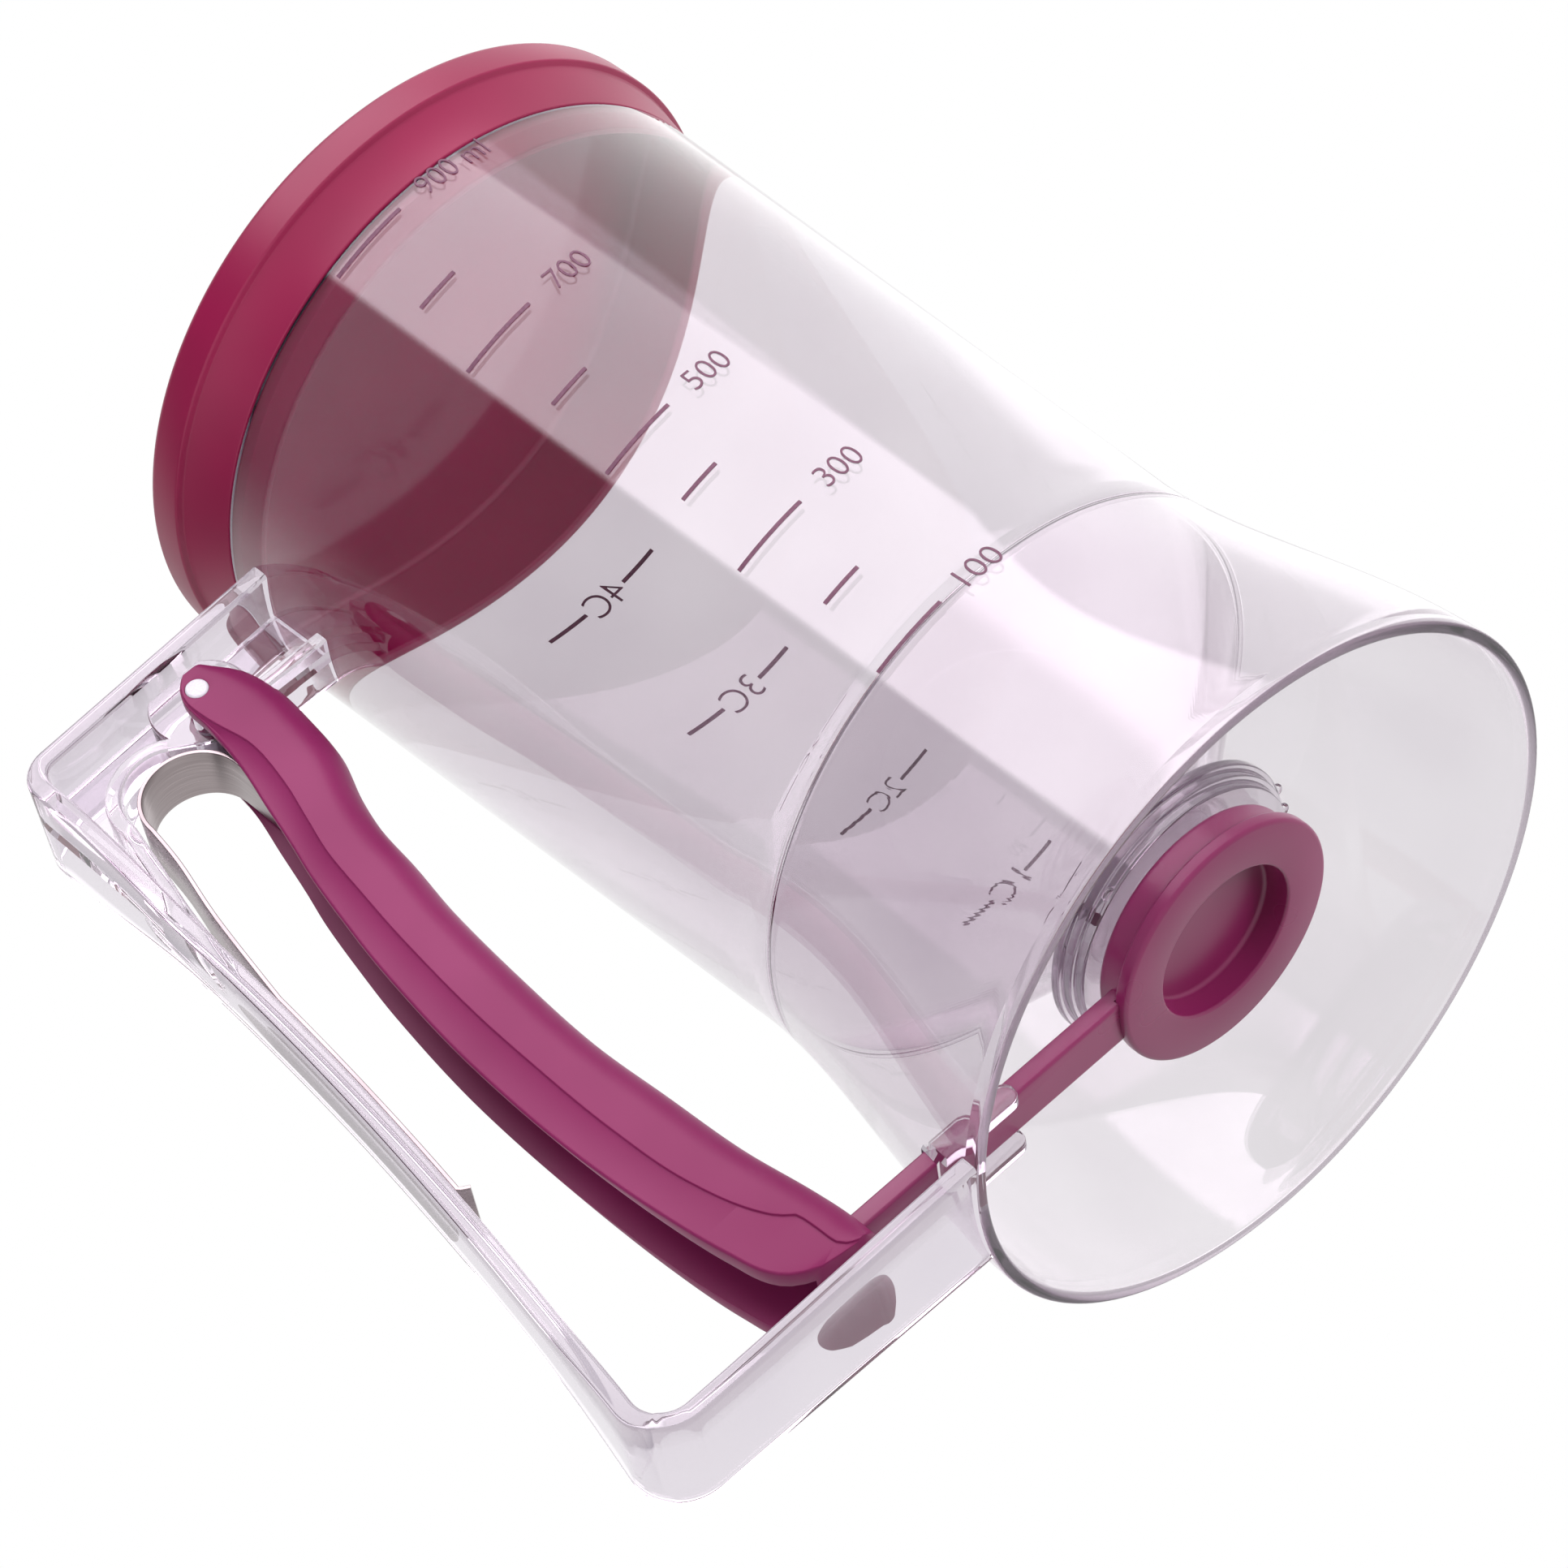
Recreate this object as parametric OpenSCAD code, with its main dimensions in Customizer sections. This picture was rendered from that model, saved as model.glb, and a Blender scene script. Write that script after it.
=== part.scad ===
// Squeeze-handle batter dispenser: a clear tank on a flared skirt, closed by a push-in lid.
// A sprung lever in the handle pulls a flat valve away from the spout under the tank.
// Origin: centre of the skirt's foot on the counter. +Z up, handle towards -X.

/* [Tank] */
// Height of the tank's rim above the counter
tank_h = 166.5; // [156:0.5:180]
// Outer radius of the tank at its rim
rim_r = 50.6; // [49.5:0.1:53]
// Outer radius at the waist, where the skirt starts to flare
waist_r = 48; // [46:0.1:49.4]
// Wall thickness of the tank and skirt
tank_wall = 2; // [1.6:0.1:2.4]
// Bore radius of the spout under the funnel
spout_r = 8; // [6:0.1:9]
// Height of the spout's mouth above the counter
spout_z = 15.4; // [15.2:0.1:17]
// Height of the funnel's lower end
funnel_z = 22; // [21.6:0.1:26]

/* [Skirt] */
// Outer radius of the skirt's foot
foot_r = 56; // [54:0.1:58]
// Height of the joint between skirt and tank
skirt_h = 50; // [47:0.1:54]
// Height at which the flare fades into the straight wall
flare_h = 58; // [56:0.1:64]
// Height of the straight land inside the foot
foot_land = 3; // [2:0.1:4]

/* [Nozzle ring] */
// Largest radius of the stepped ring round the spout
ring_r = 22.5; // [21:0.1:24]
// Height of each of the ring's three steps
ring_step_h = 1.5; // [1.2:0.1:1.7]
// Radius lost at each step
ring_step_r = 0.9; // [0.6:0.1:1.2]
// Radius of the round nubs on the ring
nub_r = 1.1; // [0.8:0.1:1.1]

/* [Handle frame] */
// Drop from the tank's rim to the top arm
arm_drop = 5.5; // [4:0.1:8]
// Fall of the top arm towards the outer corner
arm_fall = 3.2; // [1:0.1:4]
// Distance from the tank's axis to the rear bar's upper outer face
corner_x = 99.4; // [98.6:0.1:104]
// How far the rear bar sweeps out towards its foot
rear_sweep = 16.8; // [15:0.1:19]
// Thickness of the frame's outer strap
strap_t = 3.2; // [2.8:0.1:3.4]
// Half width of the strap on the top arm
top_half_w = 9.5; // [8.5:0.1:11]
// Half width of the strap on the narrow part of the rear bar
bar_half_w = 5.7; // [5.4:0.1:6.4]
// Half width of the bottom arm at the outer corner
foot_half_w = 9.5; // [8:0.1:11]
// Half width of the bottom arm at the skirt
root_half_w = 11.2; // [11:0.1:13]
// Thickness of the web between the strap and the hole's flange
web_t = 2.4; // [1.8:0.1:3]
// Half width of the flange that edges the hole
flange_half_w = 5; // [4:0.1:5.2]
// Thickness of that flange
flange_t = 2.4; // [1.8:0.1:2.6]
// Outer radius of the pivot boss
boss_r = 8.2; // [7:0.1:8.4]

/* [Lever] */
// Distance from the tank's axis to the lever's pivot
pivot_x = 70; // [69:0.1:71]
// Drop from the top arm's root to the lever's pivot
pivot_drop = 10.6; // [10.4:0.1:11.4]
// Height of the lever's tip
tip_z = 5; // [4.6:0.1:5.6]
// Half width of the lever
lever_half_w = 8; // [7.9:0.1:8.6]
// Half width of the lever at its tip
tip_half_w = 9; // [8.6:0.1:9.6]
// Wall thickness of the lever's channel
lever_wall = 2.4; // [2:0.1:2.4]
// Corner radius of the lever's front
lever_round = 5.5; // [3:0.1:5.5]
// Inset of the thinner lip along the channel's edges
lip_inset = 0.4; // [0.2:0.05:0.6]
// Further inset of the lip at the channel's rear edge
lip_taper = 1.4; // [0.8:0.1:1.5]
// Radius of the pivot pin
pin_r = 1.8; // [1.4:0.1:2.2]

/* [Spring] */
// Thickness of the spring strip
spring_t = 0.7; // [0.5:0.05:0.8]
// Half width of the spring strip
spring_half_w = 4.8; // [4:0.1:5]
// Outer radius of the spring's bend
bend_r = 8.6; // [8:0.1:8.8]
// Length of the spring's leg along the rear bar
spring_leg = 82; // [70:0.5:90]

/* [Valve] */
// Radius of the valve cap's flange
cap_flange_r = 20; // [19.5:0.1:20.5]
// Radius of the valve cap's body
cap_r = 18.7; // [17.5:0.1:19]
// Height of the cap's underside above the counter
cap_z = 7.5; // [6.8:0.1:8]
// Thickness of the cap's flange
cap_flange_t = 2.4; // [1.8:0.1:2.8]
// Radius of the recess in the cap's underside
recess_r = 12.4; // [10:0.1:13]
// Depth of that recess
recess_d = 4.6; // [3:0.1:5]
// Radius of the soft seal on the cap
seal_r = 13.5; // [12.5:0.1:14.5]
// Thickness of the soft seal
seal_t = 0.8; // [0.5:0.05:1]
// Width of the pull arm
arm_w = 8; // [6:0.1:8.4]
// Thickness of the pull arm
arm_t = 3; // [2.4:0.1:3.2]
// Height of the pull arm's underside
arm_z = 8.8; // [8.6:0.1:9.2]

/* [Lid] */
// Height of the lid above the tank's rim
lid_h = 15.4; // [14:0.1:18]
// Overhang of the lid's lip beyond the rim
lip_out = 2.8; // [2.2:0.1:3.4]
// Height of the lid's lip band
lip_h = 6.4; // [5:0.1:7]
// Depth of the plug below the rim
plug_d = 5.2; // [4:0.1:8]
// Taper of the plug towards its lower edge
plug_taper = 1.6; // [1:0.1:2]
// Wall thickness of the lid
lid_wall = 1.9; // [1.6:0.1:2.2]
// Depth of the panel below the lip's top
panel_d = 5.8; // [4:0.1:7]

/* [Fits] */
// Sliding clearance round the pull arm
slide_gap = 0.3; // [0.2:0.05:0.4]
// Running clearance between the seal and the spout
seal_gap = 0.1; // [0.05:0.05:0.2]
// Radial running clearance on the pivot pin
pin_gap = 0.05; // [0.02:0.01:0.08]
// Clearance between the lever's ears and the handle's boss
ear_gap = 0.6; // [0.4:0.05:0.8]
// Clearance of the lid's plug in the tank
plug_gap = 0.3; // [0.2:0.05:0.4]
// Gap between the spring and what it rests on
rest_gap = 0.1; // [0.05:0.05:0.2]

/* [Hidden] */
$fn = 96;

clear = [0.86, 0.84, 0.88, 0.45];
magenta = [0.58, 0.13, 0.36];
steel = [0.66, 0.64, 0.64];
soft = [0.9, 0.88, 0.9];

// ---- shared functions ----

function clamp(u) = max(0, min(1, u));
function ease(u) = clamp(u) * clamp(u) * (3 - 2 * clamp(u));
function mix(a, b, u) = a + (b - a) * u;
function span(a, b, n) = [for (i = [0:n]) mix(a, b, i / n)];
function reversed(list) = [for (i = [len(list) - 1:-1:0]) list[i]];
function arc(cx, cz, r, a0, a1, n) = [for (a = span(a0, a1, n)) [cx + r * cos(a), cz + r * sin(a)]];

// Left-hand unit normal of a path at one of its points
function normal_at(path, i) =
    let (d = path[min(i + 1, len(path) - 1)] - path[max(i - 1, 0)])
    [-d[1], d[0]] / norm(d);

// A path moved to its left, and the outline of the strip between the two
function shifted(path, t) = [for (i = [0:len(path) - 1]) path[i] + t * normal_at(path, i)];
function strip(path, t) = concat(path, reversed(shifted(path, t)));

// Smooth curve through a table's column c, read at key k in column 0
function knot(rows, i) = rows[max(0, min(i, len(rows) - 1))];
function slope(rows, i, c) =
    let (d = knot(rows, i + 1) - knot(rows, i - 1))
    d[c] / d[0];
function row_below(rows, k, i = 0) =
    i >= len(rows) - 2 || k < rows[i + 1][0] ? i : row_below(rows, k, i + 1);
function curve(rows, k, c) =
    let (i = row_below(rows, k), a = rows[i], b = rows[i + 1], h = b[0] - a[0], u = (k - a[0]) / h)
    mix(a[c], b[c], ease(u))
    + h * u * (1 - u) * ((1 - u) * slope(rows, i, c) - u * slope(rows, i + 1, c));

// Extrudes a shape drawn in x and z to a half width either side of y = 0
module across(half_w) {
    rotate([90, 0, 0]) translate([0, 0, -half_w]) linear_extrude(2 * half_w) children();
}

// ---- tank, skirt and nozzle ring ----

function wall_r(z) = waist_r
    + (rim_r - waist_r) * clamp((z - flare_h) / (tank_h - flare_h))
    + (foot_r - waist_r) * ease((flare_h - z) / flare_h);

spout_out_r = spout_r + tank_wall;
skirt_steps = 16;
flare_steps = 4;

module tank() {
    joint_r = wall_r(skirt_h) - tank_wall;
    color(clear) rotate_extrude() polygon(concat(
        [for (z = span(skirt_h, flare_h, flare_steps)) [wall_r(z), z]],
        [[rim_r, tank_h], [rim_r - tank_wall, tank_h]],
        [for (z = span(flare_h, skirt_h + tank_wall, flare_steps)) [wall_r(z) - tank_wall, z]],
        [[spout_r, funnel_z], [spout_r, spout_z], [spout_out_r, spout_z],
            [spout_out_r, funnel_z - tank_wall / 2], [joint_r, skirt_h]]));
}

// Everything inside the outer faces of the tank and skirt
module body_core() {
    rotate_extrude() polygon(concat(
        [[0, 0]],
        [for (z = span(0, flare_h, skirt_steps + flare_steps)) [wall_r(z), z]],
        [[rim_r, tank_h], [0, tank_h]]));
}

cheek_w = 2;
cheek_r = 2;
cheek_in = 12.5;
slot_half_w = arm_w / 2 + slide_gap;

module base_skirt() {
    color(clear) difference() {
        union() {
            rotate_extrude() polygon(concat(
                [for (z = span(0, skirt_h, skirt_steps)) [wall_r(z), z]],
                [for (z = span(skirt_h, foot_land, skirt_steps)) [wall_r(z) - tank_wall, z]],
                [[foot_r - tank_wall, foot_land], [foot_r - tank_wall, 0]]));
            for (side = [-1, 1]) cheek(side);
        }
        translate([-foot_r, -slot_half_w, arm_z - slide_gap])
            cube([cheek_in + 4 * tank_wall, 2 * slot_half_w, arm_t + 2 * slide_gap]);
    }
}

// Round-ended guide beside the pull arm, just inside the skirt's slot
module cheek(side) {
    wall_x = -wall_r(arm_z) + tank_wall / 2;
    translate([0, side * (slot_half_w + cheek_w / 2), 0]) across(cheek_w / 2) {
        translate([wall_x + cheek_in, arm_z]) circle(r = cheek_r);
        translate([wall_x, arm_z - cheek_r]) square([cheek_in, 2 * cheek_r]);
    }
}

nub_h = 0.6 * ring_step_h;
nub_rise = 0.2 * ring_step_h;

module nozzle_ring() {
    color(clear) difference() {
        union() {
            for (i = [0:2]) translate([0, 0, spout_z + i * ring_step_h])
                cylinder(r = ring_r - (2 - i) * ring_step_r, h = ring_step_h);
            for (k = [0:2]) rotate(-128 + 120 * k) {
                translate([ring_r - 2 * ring_step_r, 0, spout_z + nub_rise]) cylinder(r = nub_r, h = nub_h);
                translate([ring_r, 0, spout_z + 2 * ring_step_h + nub_rise]) cylinder(r = nub_r, h = nub_h);
            }
        }
        translate([0, 0, spout_z - 1]) cylinder(r = spout_out_r, h = 4 * ring_step_h + 2);
    }
}

// ---- handle frame ----

arm_root_z = tank_h - arm_drop;
pivot_z = arm_root_z - pivot_drop;
arm_tilt = atan(arm_fall / (corner_x - rim_r));
root_x = -waist_r + 6;
corner_r = 6;
foot_corner_r = 8;
foot_lean = 12;
merge_z = 0.69 * pivot_z;

function arm_z_at(x) = arm_root_z + (x + rim_r) * tan(arm_tilt);
function bar_x(z) = -corner_x - rear_sweep * pow(max(0, pivot_z - z) / pivot_z, 2);

// Outer line of the strap: top arm, corner and upper rear bar, then down round the foot
upper_line = concat(
    [[root_x, arm_z_at(root_x)]],
    arc(corner_r - corner_x, arm_z_at(corner_r - corner_x) - corner_r, corner_r, 90 + arm_tilt, 180, 6),
    [for (z = span(pivot_z, merge_z, 5)) [bar_x(z), z]]);
foot_bend_z = foot_corner_r * (1 + sin(foot_lean));
lower_line = concat(
    [for (z = span(merge_z, foot_bend_z + 4, 9)) [bar_x(z), z]],
    arc(bar_x(foot_bend_z) + foot_corner_r * cos(foot_lean), foot_corner_r, foot_corner_r,
        180 - foot_lean, 270, 8),
    [[root_x, 0]]);
strap_line = concat(upper_line, [for (i = [1:len(lower_line) - 1]) lower_line[i]]);

// Edge of the finger hole: under the top arm, round the boss and over the spring's bend
hole_z = pivot_z - 5.5;
bend_x = -pivot_x - 12;
bend_z = pivot_z - 12.8;
hood_r = 7.9;
hood_x = bend_x - 1.6;
hood_z = bend_z + 3;
boss_in = asin(5.5 / boss_r);
hole_line = concat(
    [[root_x, hole_z]],
    arc(-pivot_x, pivot_z, boss_r, -boss_in, -136, 6),
    arc(hood_x, hood_z, hood_r, 64, 184, 8),
    [[hood_x - hood_r - 1.9, hood_z - 9], [bar_x(merge_z) + strap_t + 1.6, merge_z + 16],
        [bar_x(merge_z) + 0.9 * strap_t, merge_z]]);

// Half width of the strap at a height, narrow on the rear bar
function strap_half_w(z) = bar_half_w
    + (foot_half_w - bar_half_w) * ease((34 - z) / 30)
    + (top_half_w - bar_half_w) * ease((z - pivot_z + 34) / 32);

module strap_width() {
    heights = concat([strap_t + 1], span(5, 34, 6), span(pivot_z - 34, pivot_z, 7), [arm_root_z + 2]);
    half = concat([[root_half_w, 0], [root_half_w, strap_t + 0.5]], [for (z = heights) [strap_half_w(z), z]]);
    polygon(concat(half, reversed([for (p = half) [-p[0], p[1]]])));
}

// Outline of the strap from above, narrowing along the bottom arm
module strap_plan() {
    half = [[root_x, root_half_w], [3 - corner_x, foot_half_w + 0.3], [bar_x(0) + 6, foot_half_w],
        [bar_x(0) + 2, foot_half_w - 1], [bar_x(0) - 1, foot_half_w - 3]];
    polygon(concat(half, reversed([for (p = half) [p[0], -p[1]]])));
}

module handle_frame() {
    color(clear) difference() {
        union() {
            intersection() {
                across(root_half_w + 1) polygon(strip(strap_line, strap_t));
                rotate([90, 0, 90]) translate([0, 0, bar_x(0)]) linear_extrude(-bar_x(0)) strap_width();
                linear_extrude(tank_h) strap_plan();
            }
            across(web_t / 2) polygon(concat(shifted(upper_line, strap_t / 4),
                reversed(shifted(hole_line, -flange_t / 2))));
            across(flange_half_w) polygon(strip(reversed(hole_line), flange_t));
            across(flange_half_w) translate([-pivot_x, pivot_z]) circle(r = boss_r);
        }
        body_core();
        across(root_half_w) translate([-pivot_x, pivot_z]) circle(r = pin_r);
    }
}

module pivot_pin() {
    color(clear) across(lever_half_w + slide_gap) translate([-pivot_x, pivot_z]) circle(r = pin_r);
}

// ---- lever ----

// Side view of the lever: share of the way from tip to pivot, then the front edge and the rear
// edge from the pivot's plane and the width of the thin lip, in mm
LEVER = [
    [0, -1.2, -3.5, 1],
    [0.006, 0.6, -9, 6],
    [0.031, 1.1, -13.9, 13],
    [0.083, 0.5, -16, 8.2],
    [0.172, -1.2, -17.5, 5.9],
    [0.275, -1.9, -18.2, 5.6],
    [0.378, -2.6, -18.1, 5.6],
    [0.481, -1.9, -17.2, 5.3],
    [0.598, -0.4, -15, 4.8],
    [0.674, 1.4, -12.9, 4.3],
    [0.736, 2.6, -10.9, 3.8],
    [0.784, 4.5, -8.9, 3.8],
    [0.839, 7.6, -6.8, 4],
    [0.901, 9.1, -4.4, 3],
    [0.956, 9.7, -3.3, 0.8],
    [0.994, 8.5, -3, 0.3],
    [1.014, 6, -1.8, 0.3],
    [1.028, 3.6, 0.4, 0.3]];
lever_len = pivot_z - tip_z;
lever_in = flange_half_w + ear_gap;
ear_z = pivot_z - 7;
ear_rise = 3.6;
floor_z = tip_z + 1.4;
head_gap = 0.6;

function lever_z(share) = tip_z + share * lever_len;
function front_x(share) = -pivot_x + curve(LEVER, share, 1);
function lever_w(share) = mix(tip_half_w, lever_half_w, ease(share / 0.35));
function lip_in(share) = lip_inset + lip_taper * ease(share / 0.35) * ease((1 - share) / 0.12);

// Half of one level cross-section, from the rear edge to the middle of the front
function half_section(share) =
    let (front = front_x(share), rear = -pivot_x + curve(LEVER, share, 2), w = lever_w(share),
        r = min(lever_round, (front - rear) * 0.45),
        lip = min(rear + curve(LEVER, share, 3), front - r - 0.3))
    concat([[rear, w - lip_in(share)], [lip, w - lip_inset], [lip, w]],
        [for (a = span(90, 0, 5)) [front - r + r * cos(a), w - r + r * sin(a)]]);

function section(share) =
    let (half = half_section(share))
    [for (p = concat(half, reversed([for (p = half) [p[0], -p[1]]]))) [p[0], p[1], lever_z(share)]];

// Solid through a list of rings of points, closed at both ends
module loft(rings) {
    m = len(rings[0]);
    last = (len(rings) - 1) * m;
    polyhedron(
        points = [for (ring = rings) each ring],
        faces = concat(
            [[for (j = [0:m - 1]) j]],
            [for (i = [0:len(rings) - 2]) for (j = [0:m - 1])
                each [[i * m + j, i * m + (j + 1) % m, (i + 1) * m + j],
                    [i * m + (j + 1) % m, (i + 1) * m + (j + 1) % m, (i + 1) * m + j]]],
            [[for (j = [m - 1:-1:0]) last + j]]));
}

module lever() {
    ends = [for (row = LEVER) row[0]];
    shares = concat([for (i = [0:len(ends) - 2]) for (u = [0, 0.5]) mix(ends[i], ends[i + 1], u)],
        [ends[len(ends) - 1]]);
    color(magenta) difference() {
        loft([for (s = shares) section(s)]);
        across(lever_in) lever_channel(shares);
        translate([-pivot_x - lever_wall - 4, -slot_half_w, arm_z - slide_gap - 1.6])
            cube([12, 2 * slot_half_w, arm_t + 2 * slide_gap + 1.6]);
        across(root_half_w) translate([-pivot_x, pivot_z]) circle(r = pin_r + pin_gap);
        translate([-pivot_x - 15, -15, pivot_z + ear_rise]) cube(30);
    }
}

// Hollow of the channel in side view, open to the rear and, between the ears, to the front
module lever_channel(shares) {
    inner = [for (s = shares) if (lever_z(s) > floor_z + 1 && lever_z(s) < ear_z - 1)
        [front_x(s) - lever_wall, lever_z(s)]];
    rear_x = -pivot_x - 30;
    polygon(concat([[rear_x, floor_z], [inner[0][0], floor_z]], inner,
        [[inner[len(inner) - 1][0], ear_z], [-pivot_x + 20, ear_z],
            [-pivot_x + 20, pivot_z + 10], [rear_x, pivot_z + 10]]));
}

// ---- return spring ----

bar_in = strap_t + rest_gap;
leg_z = bend_z - spring_leg;
hook = 1.6;
spring_line = concat(
    [[bar_x(leg_z) + bar_in + hook, leg_z - 0.9 * hook],
        [bar_x(leg_z) + bar_in + 0.3 * hook, leg_z - 0.4 * hook]],
    [for (z = span(leg_z, merge_z - 1.25 * strap_t, 7)) [bar_x(z) + bar_in, z]],
    [[bend_x - 1.49 * bend_r, bend_z - 2.33 * bend_r], [bend_x - 1.15 * bend_r, bend_z - 0.93 * bend_r]],
    arc(bend_x, bend_z, bend_r, 180, 0, 16),
    [[bend_x + bend_r, bend_z - 2.33 * bend_r],
        [front_x(0.64) - lever_wall - rest_gap, lever_z(0.64)]]);

module return_spring() {
    color(steel) across(spring_half_w) polygon(strip(reversed(spring_line), spring_t));
}

// ---- valve ----

cap_top_z = spout_z - seal_gap - seal_t;

module valve_cap() {
    color(magenta) difference() {
        cap_outline();
        translate([0, 0, cap_z - 1]) cylinder(r = recess_r, h = recess_d + 1);
    }
}

module cap_outline() {
    translate([0, 0, cap_z]) cylinder(r = cap_flange_r, h = cap_flange_t);
    translate([0, 0, cap_z]) cylinder(r = cap_r, h = cap_top_z - cap_z);
}

module pull_arm() {
    head_x = -pivot_x - lever_wall - head_gap;
    head_l = 3;
    color(magenta) difference() {
        union() {
            translate([head_x, -arm_w / 2, arm_z]) cube([-head_x, arm_w, arm_t]);
            translate([head_x - head_l, -lever_in + slide_gap, arm_z])
                cube([head_l, 2 * (lever_in - slide_gap), arm_t]);
            translate([-pivot_x + 5, 0, arm_z]) cylinder(r = 1.6, h = arm_t + 1.4);
        }
        cap_outline();
    }
}

module valve_seal() {
    color(soft) translate([0, 0, cap_top_z]) cylinder(r = seal_r, h = seal_t);
}

// ---- lid ----

module lid() {
    top_z = tank_h + lid_h;
    lip_r = rim_r + lip_out;
    panel_z = top_z - panel_d;
    bore_r = rim_r - tank_wall - plug_gap;
    plug_r = bore_r - plug_taper;
    color(magenta) rotate_extrude() polygon(concat(
        [[rim_r, tank_h], [lip_r - 1.1, top_z - lip_h - 0.6], [lip_r - 0.2, top_z - lip_h - 0.4],
            [lip_r, top_z - lip_h]],
        arc(lip_r - 1.4, top_z - 1.4, 1.4, 0, 90, 5),
        [[lip_r - 2, top_z], [lip_r - 2.8, top_z - 0.8], [lip_r - 3.4, panel_z + 1],
            [lip_r - 4.4, panel_z], [0, panel_z], [0, panel_z - lid_wall],
            [plug_r - lid_wall - 0.4, panel_z - lid_wall], [plug_r - lid_wall, panel_z - lid_wall - 0.6],
            [plug_r - lid_wall, tank_h - plug_d + 0.4], [plug_r - lid_wall + 0.4, tank_h - plug_d],
            [plug_r - 0.4, tank_h - plug_d], [plug_r, tank_h - plug_d + 0.6],
            [bore_r, tank_h - 2], [bore_r, tank_h]]));
}

tank();
base_skirt();
nozzle_ring();
handle_frame();
pivot_pin();
return_spring();
lever();
valve_cap();
pull_arm();
valve_seal();
lid();
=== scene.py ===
"""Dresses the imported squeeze-handle batter dispenser for its studio render.

The jug, its skirt, ring and handle are clear moulded styrene; the lid, the squeeze lever and the
valve are magenta moulded plastic; a bent stainless strip returns the lever. Sizes are in mm in the
classes' fields and become metres when a mesh is made.
"""

import logging
import math
from dataclasses import dataclass, field
from enum import Enum
from typing import Callable, Optional, Sequence

import bmesh
import bpy
from bmesh.types import BMesh
from bpy.types import ID, Material, Node, NodeSocket, NodeTree, Object
from mathutils import Matrix, Vector


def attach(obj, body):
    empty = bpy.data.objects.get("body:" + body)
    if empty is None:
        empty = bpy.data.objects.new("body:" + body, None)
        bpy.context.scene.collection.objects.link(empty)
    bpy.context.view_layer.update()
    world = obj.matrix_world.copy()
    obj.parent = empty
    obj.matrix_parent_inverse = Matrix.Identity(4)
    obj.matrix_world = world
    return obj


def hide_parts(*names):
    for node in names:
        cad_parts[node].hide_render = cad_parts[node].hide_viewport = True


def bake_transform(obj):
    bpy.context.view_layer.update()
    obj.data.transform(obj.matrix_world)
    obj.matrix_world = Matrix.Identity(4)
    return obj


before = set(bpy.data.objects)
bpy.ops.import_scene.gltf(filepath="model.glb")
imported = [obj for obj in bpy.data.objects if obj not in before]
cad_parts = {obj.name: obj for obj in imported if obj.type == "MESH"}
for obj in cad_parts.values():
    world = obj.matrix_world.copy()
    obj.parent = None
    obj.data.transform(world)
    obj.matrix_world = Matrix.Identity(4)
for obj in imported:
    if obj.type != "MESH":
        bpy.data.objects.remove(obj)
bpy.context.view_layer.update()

logging.basicConfig(level=logging.INFO, format="%(name)s: %(message)s")
LOG = logging.getLogger("dispenser")

MM = 0.001
AXIS_RADIUS = 1e-6
SMOOTH_ANGLE = math.radians(32)
TURN_STEPS = 192
THROUGH = 14.0

Point = tuple[float, float]
Triple = tuple[float, float, float]
Colour = tuple[float, float, float, float]


class Body(str, Enum):
    """The CAD bodies that pieces ride on."""

    CONTAINER = "container"
    LEVER = "squeeze_lever"
    VALVE = "valve"
    COVER = "cover"


class Cut(str, Enum):
    """How a second solid changes the first."""

    JOIN = "UNION"
    REMOVE = "DIFFERENCE"


# ---------------------------------------------------------------- colour and material helpers


def srgb(code: str) -> Colour:
    """Turns an sRGB hex colour into Blender's linear values.

    Args:
        code: six hex digits, such as "9a2f6b".

    Returns:
        Linear red, green, blue and an alpha of 1.
    """
    values = [int(code[i:i + 2], 16) / 255 for i in (0, 2, 4)]
    linear = [v / 12.92 if v <= 0.04045 else ((v + 0.055) / 1.055) ** 2.4 for v in values]
    return (linear[0], linear[1], linear[2], 1.0)


def add_node(tree: NodeTree, kind: str, links: Optional[dict] = None, **settings) -> Node:
    """Adds a node, sets its values and links its inputs.

    Args:
        tree: the node tree it goes into.
        kind: the node's type name without the ShaderNode prefix.
        links: input name or number to the output socket that feeds it.
        settings: attributes of the node, or with underscores for spaces, its input values.

    Returns:
        The new node.
    """
    node = tree.nodes.new("ShaderNode" + kind)
    for name, value in settings.items():
        if hasattr(node, name):
            setattr(node, name, value)
        else:
            node.inputs[name.replace("_", " ")].default_value = value
    for name, output in (links or {}).items():
        tree.links.new(output, node.inputs[name])
    return node


def calc(tree: NodeTree, how: str, *values: NodeSocket | float) -> NodeSocket:
    """Adds a Math node.

    Args:
        tree: the node tree.
        how: the operation, such as MAXIMUM.
        values: numbers, or the sockets that feed it.

    Returns:
        The result's socket.
    """
    links = {i: value for i, value in enumerate(values) if isinstance(value, NodeSocket)}
    node = add_node(tree, "Math", links, operation=how)
    for i, value in enumerate(values):
        if i not in links:
            node.inputs[i].default_value = value
    return node.outputs[0]


def mixed(tree: NodeTree, share: NodeSocket, first: Node, second: Node) -> Node:
    """Mixes two shader nodes, all of the second where the share is 1."""
    return add_node(tree, "MixShader", {0: share, 1: first.outputs[0], 2: second.outputs[0]})


def noise(tree: NodeTree, place: NodeSocket, size_mm: float, detail: float = 2.0) -> NodeSocket:
    """Soft noise from 0 to 1 whose patches are about a size in mm across."""
    node = add_node(tree, "TexNoise", {"Vector": place}, Scale=1 / (size_mm * MM), Detail=detail)
    return node.outputs["Fac"]


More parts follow.
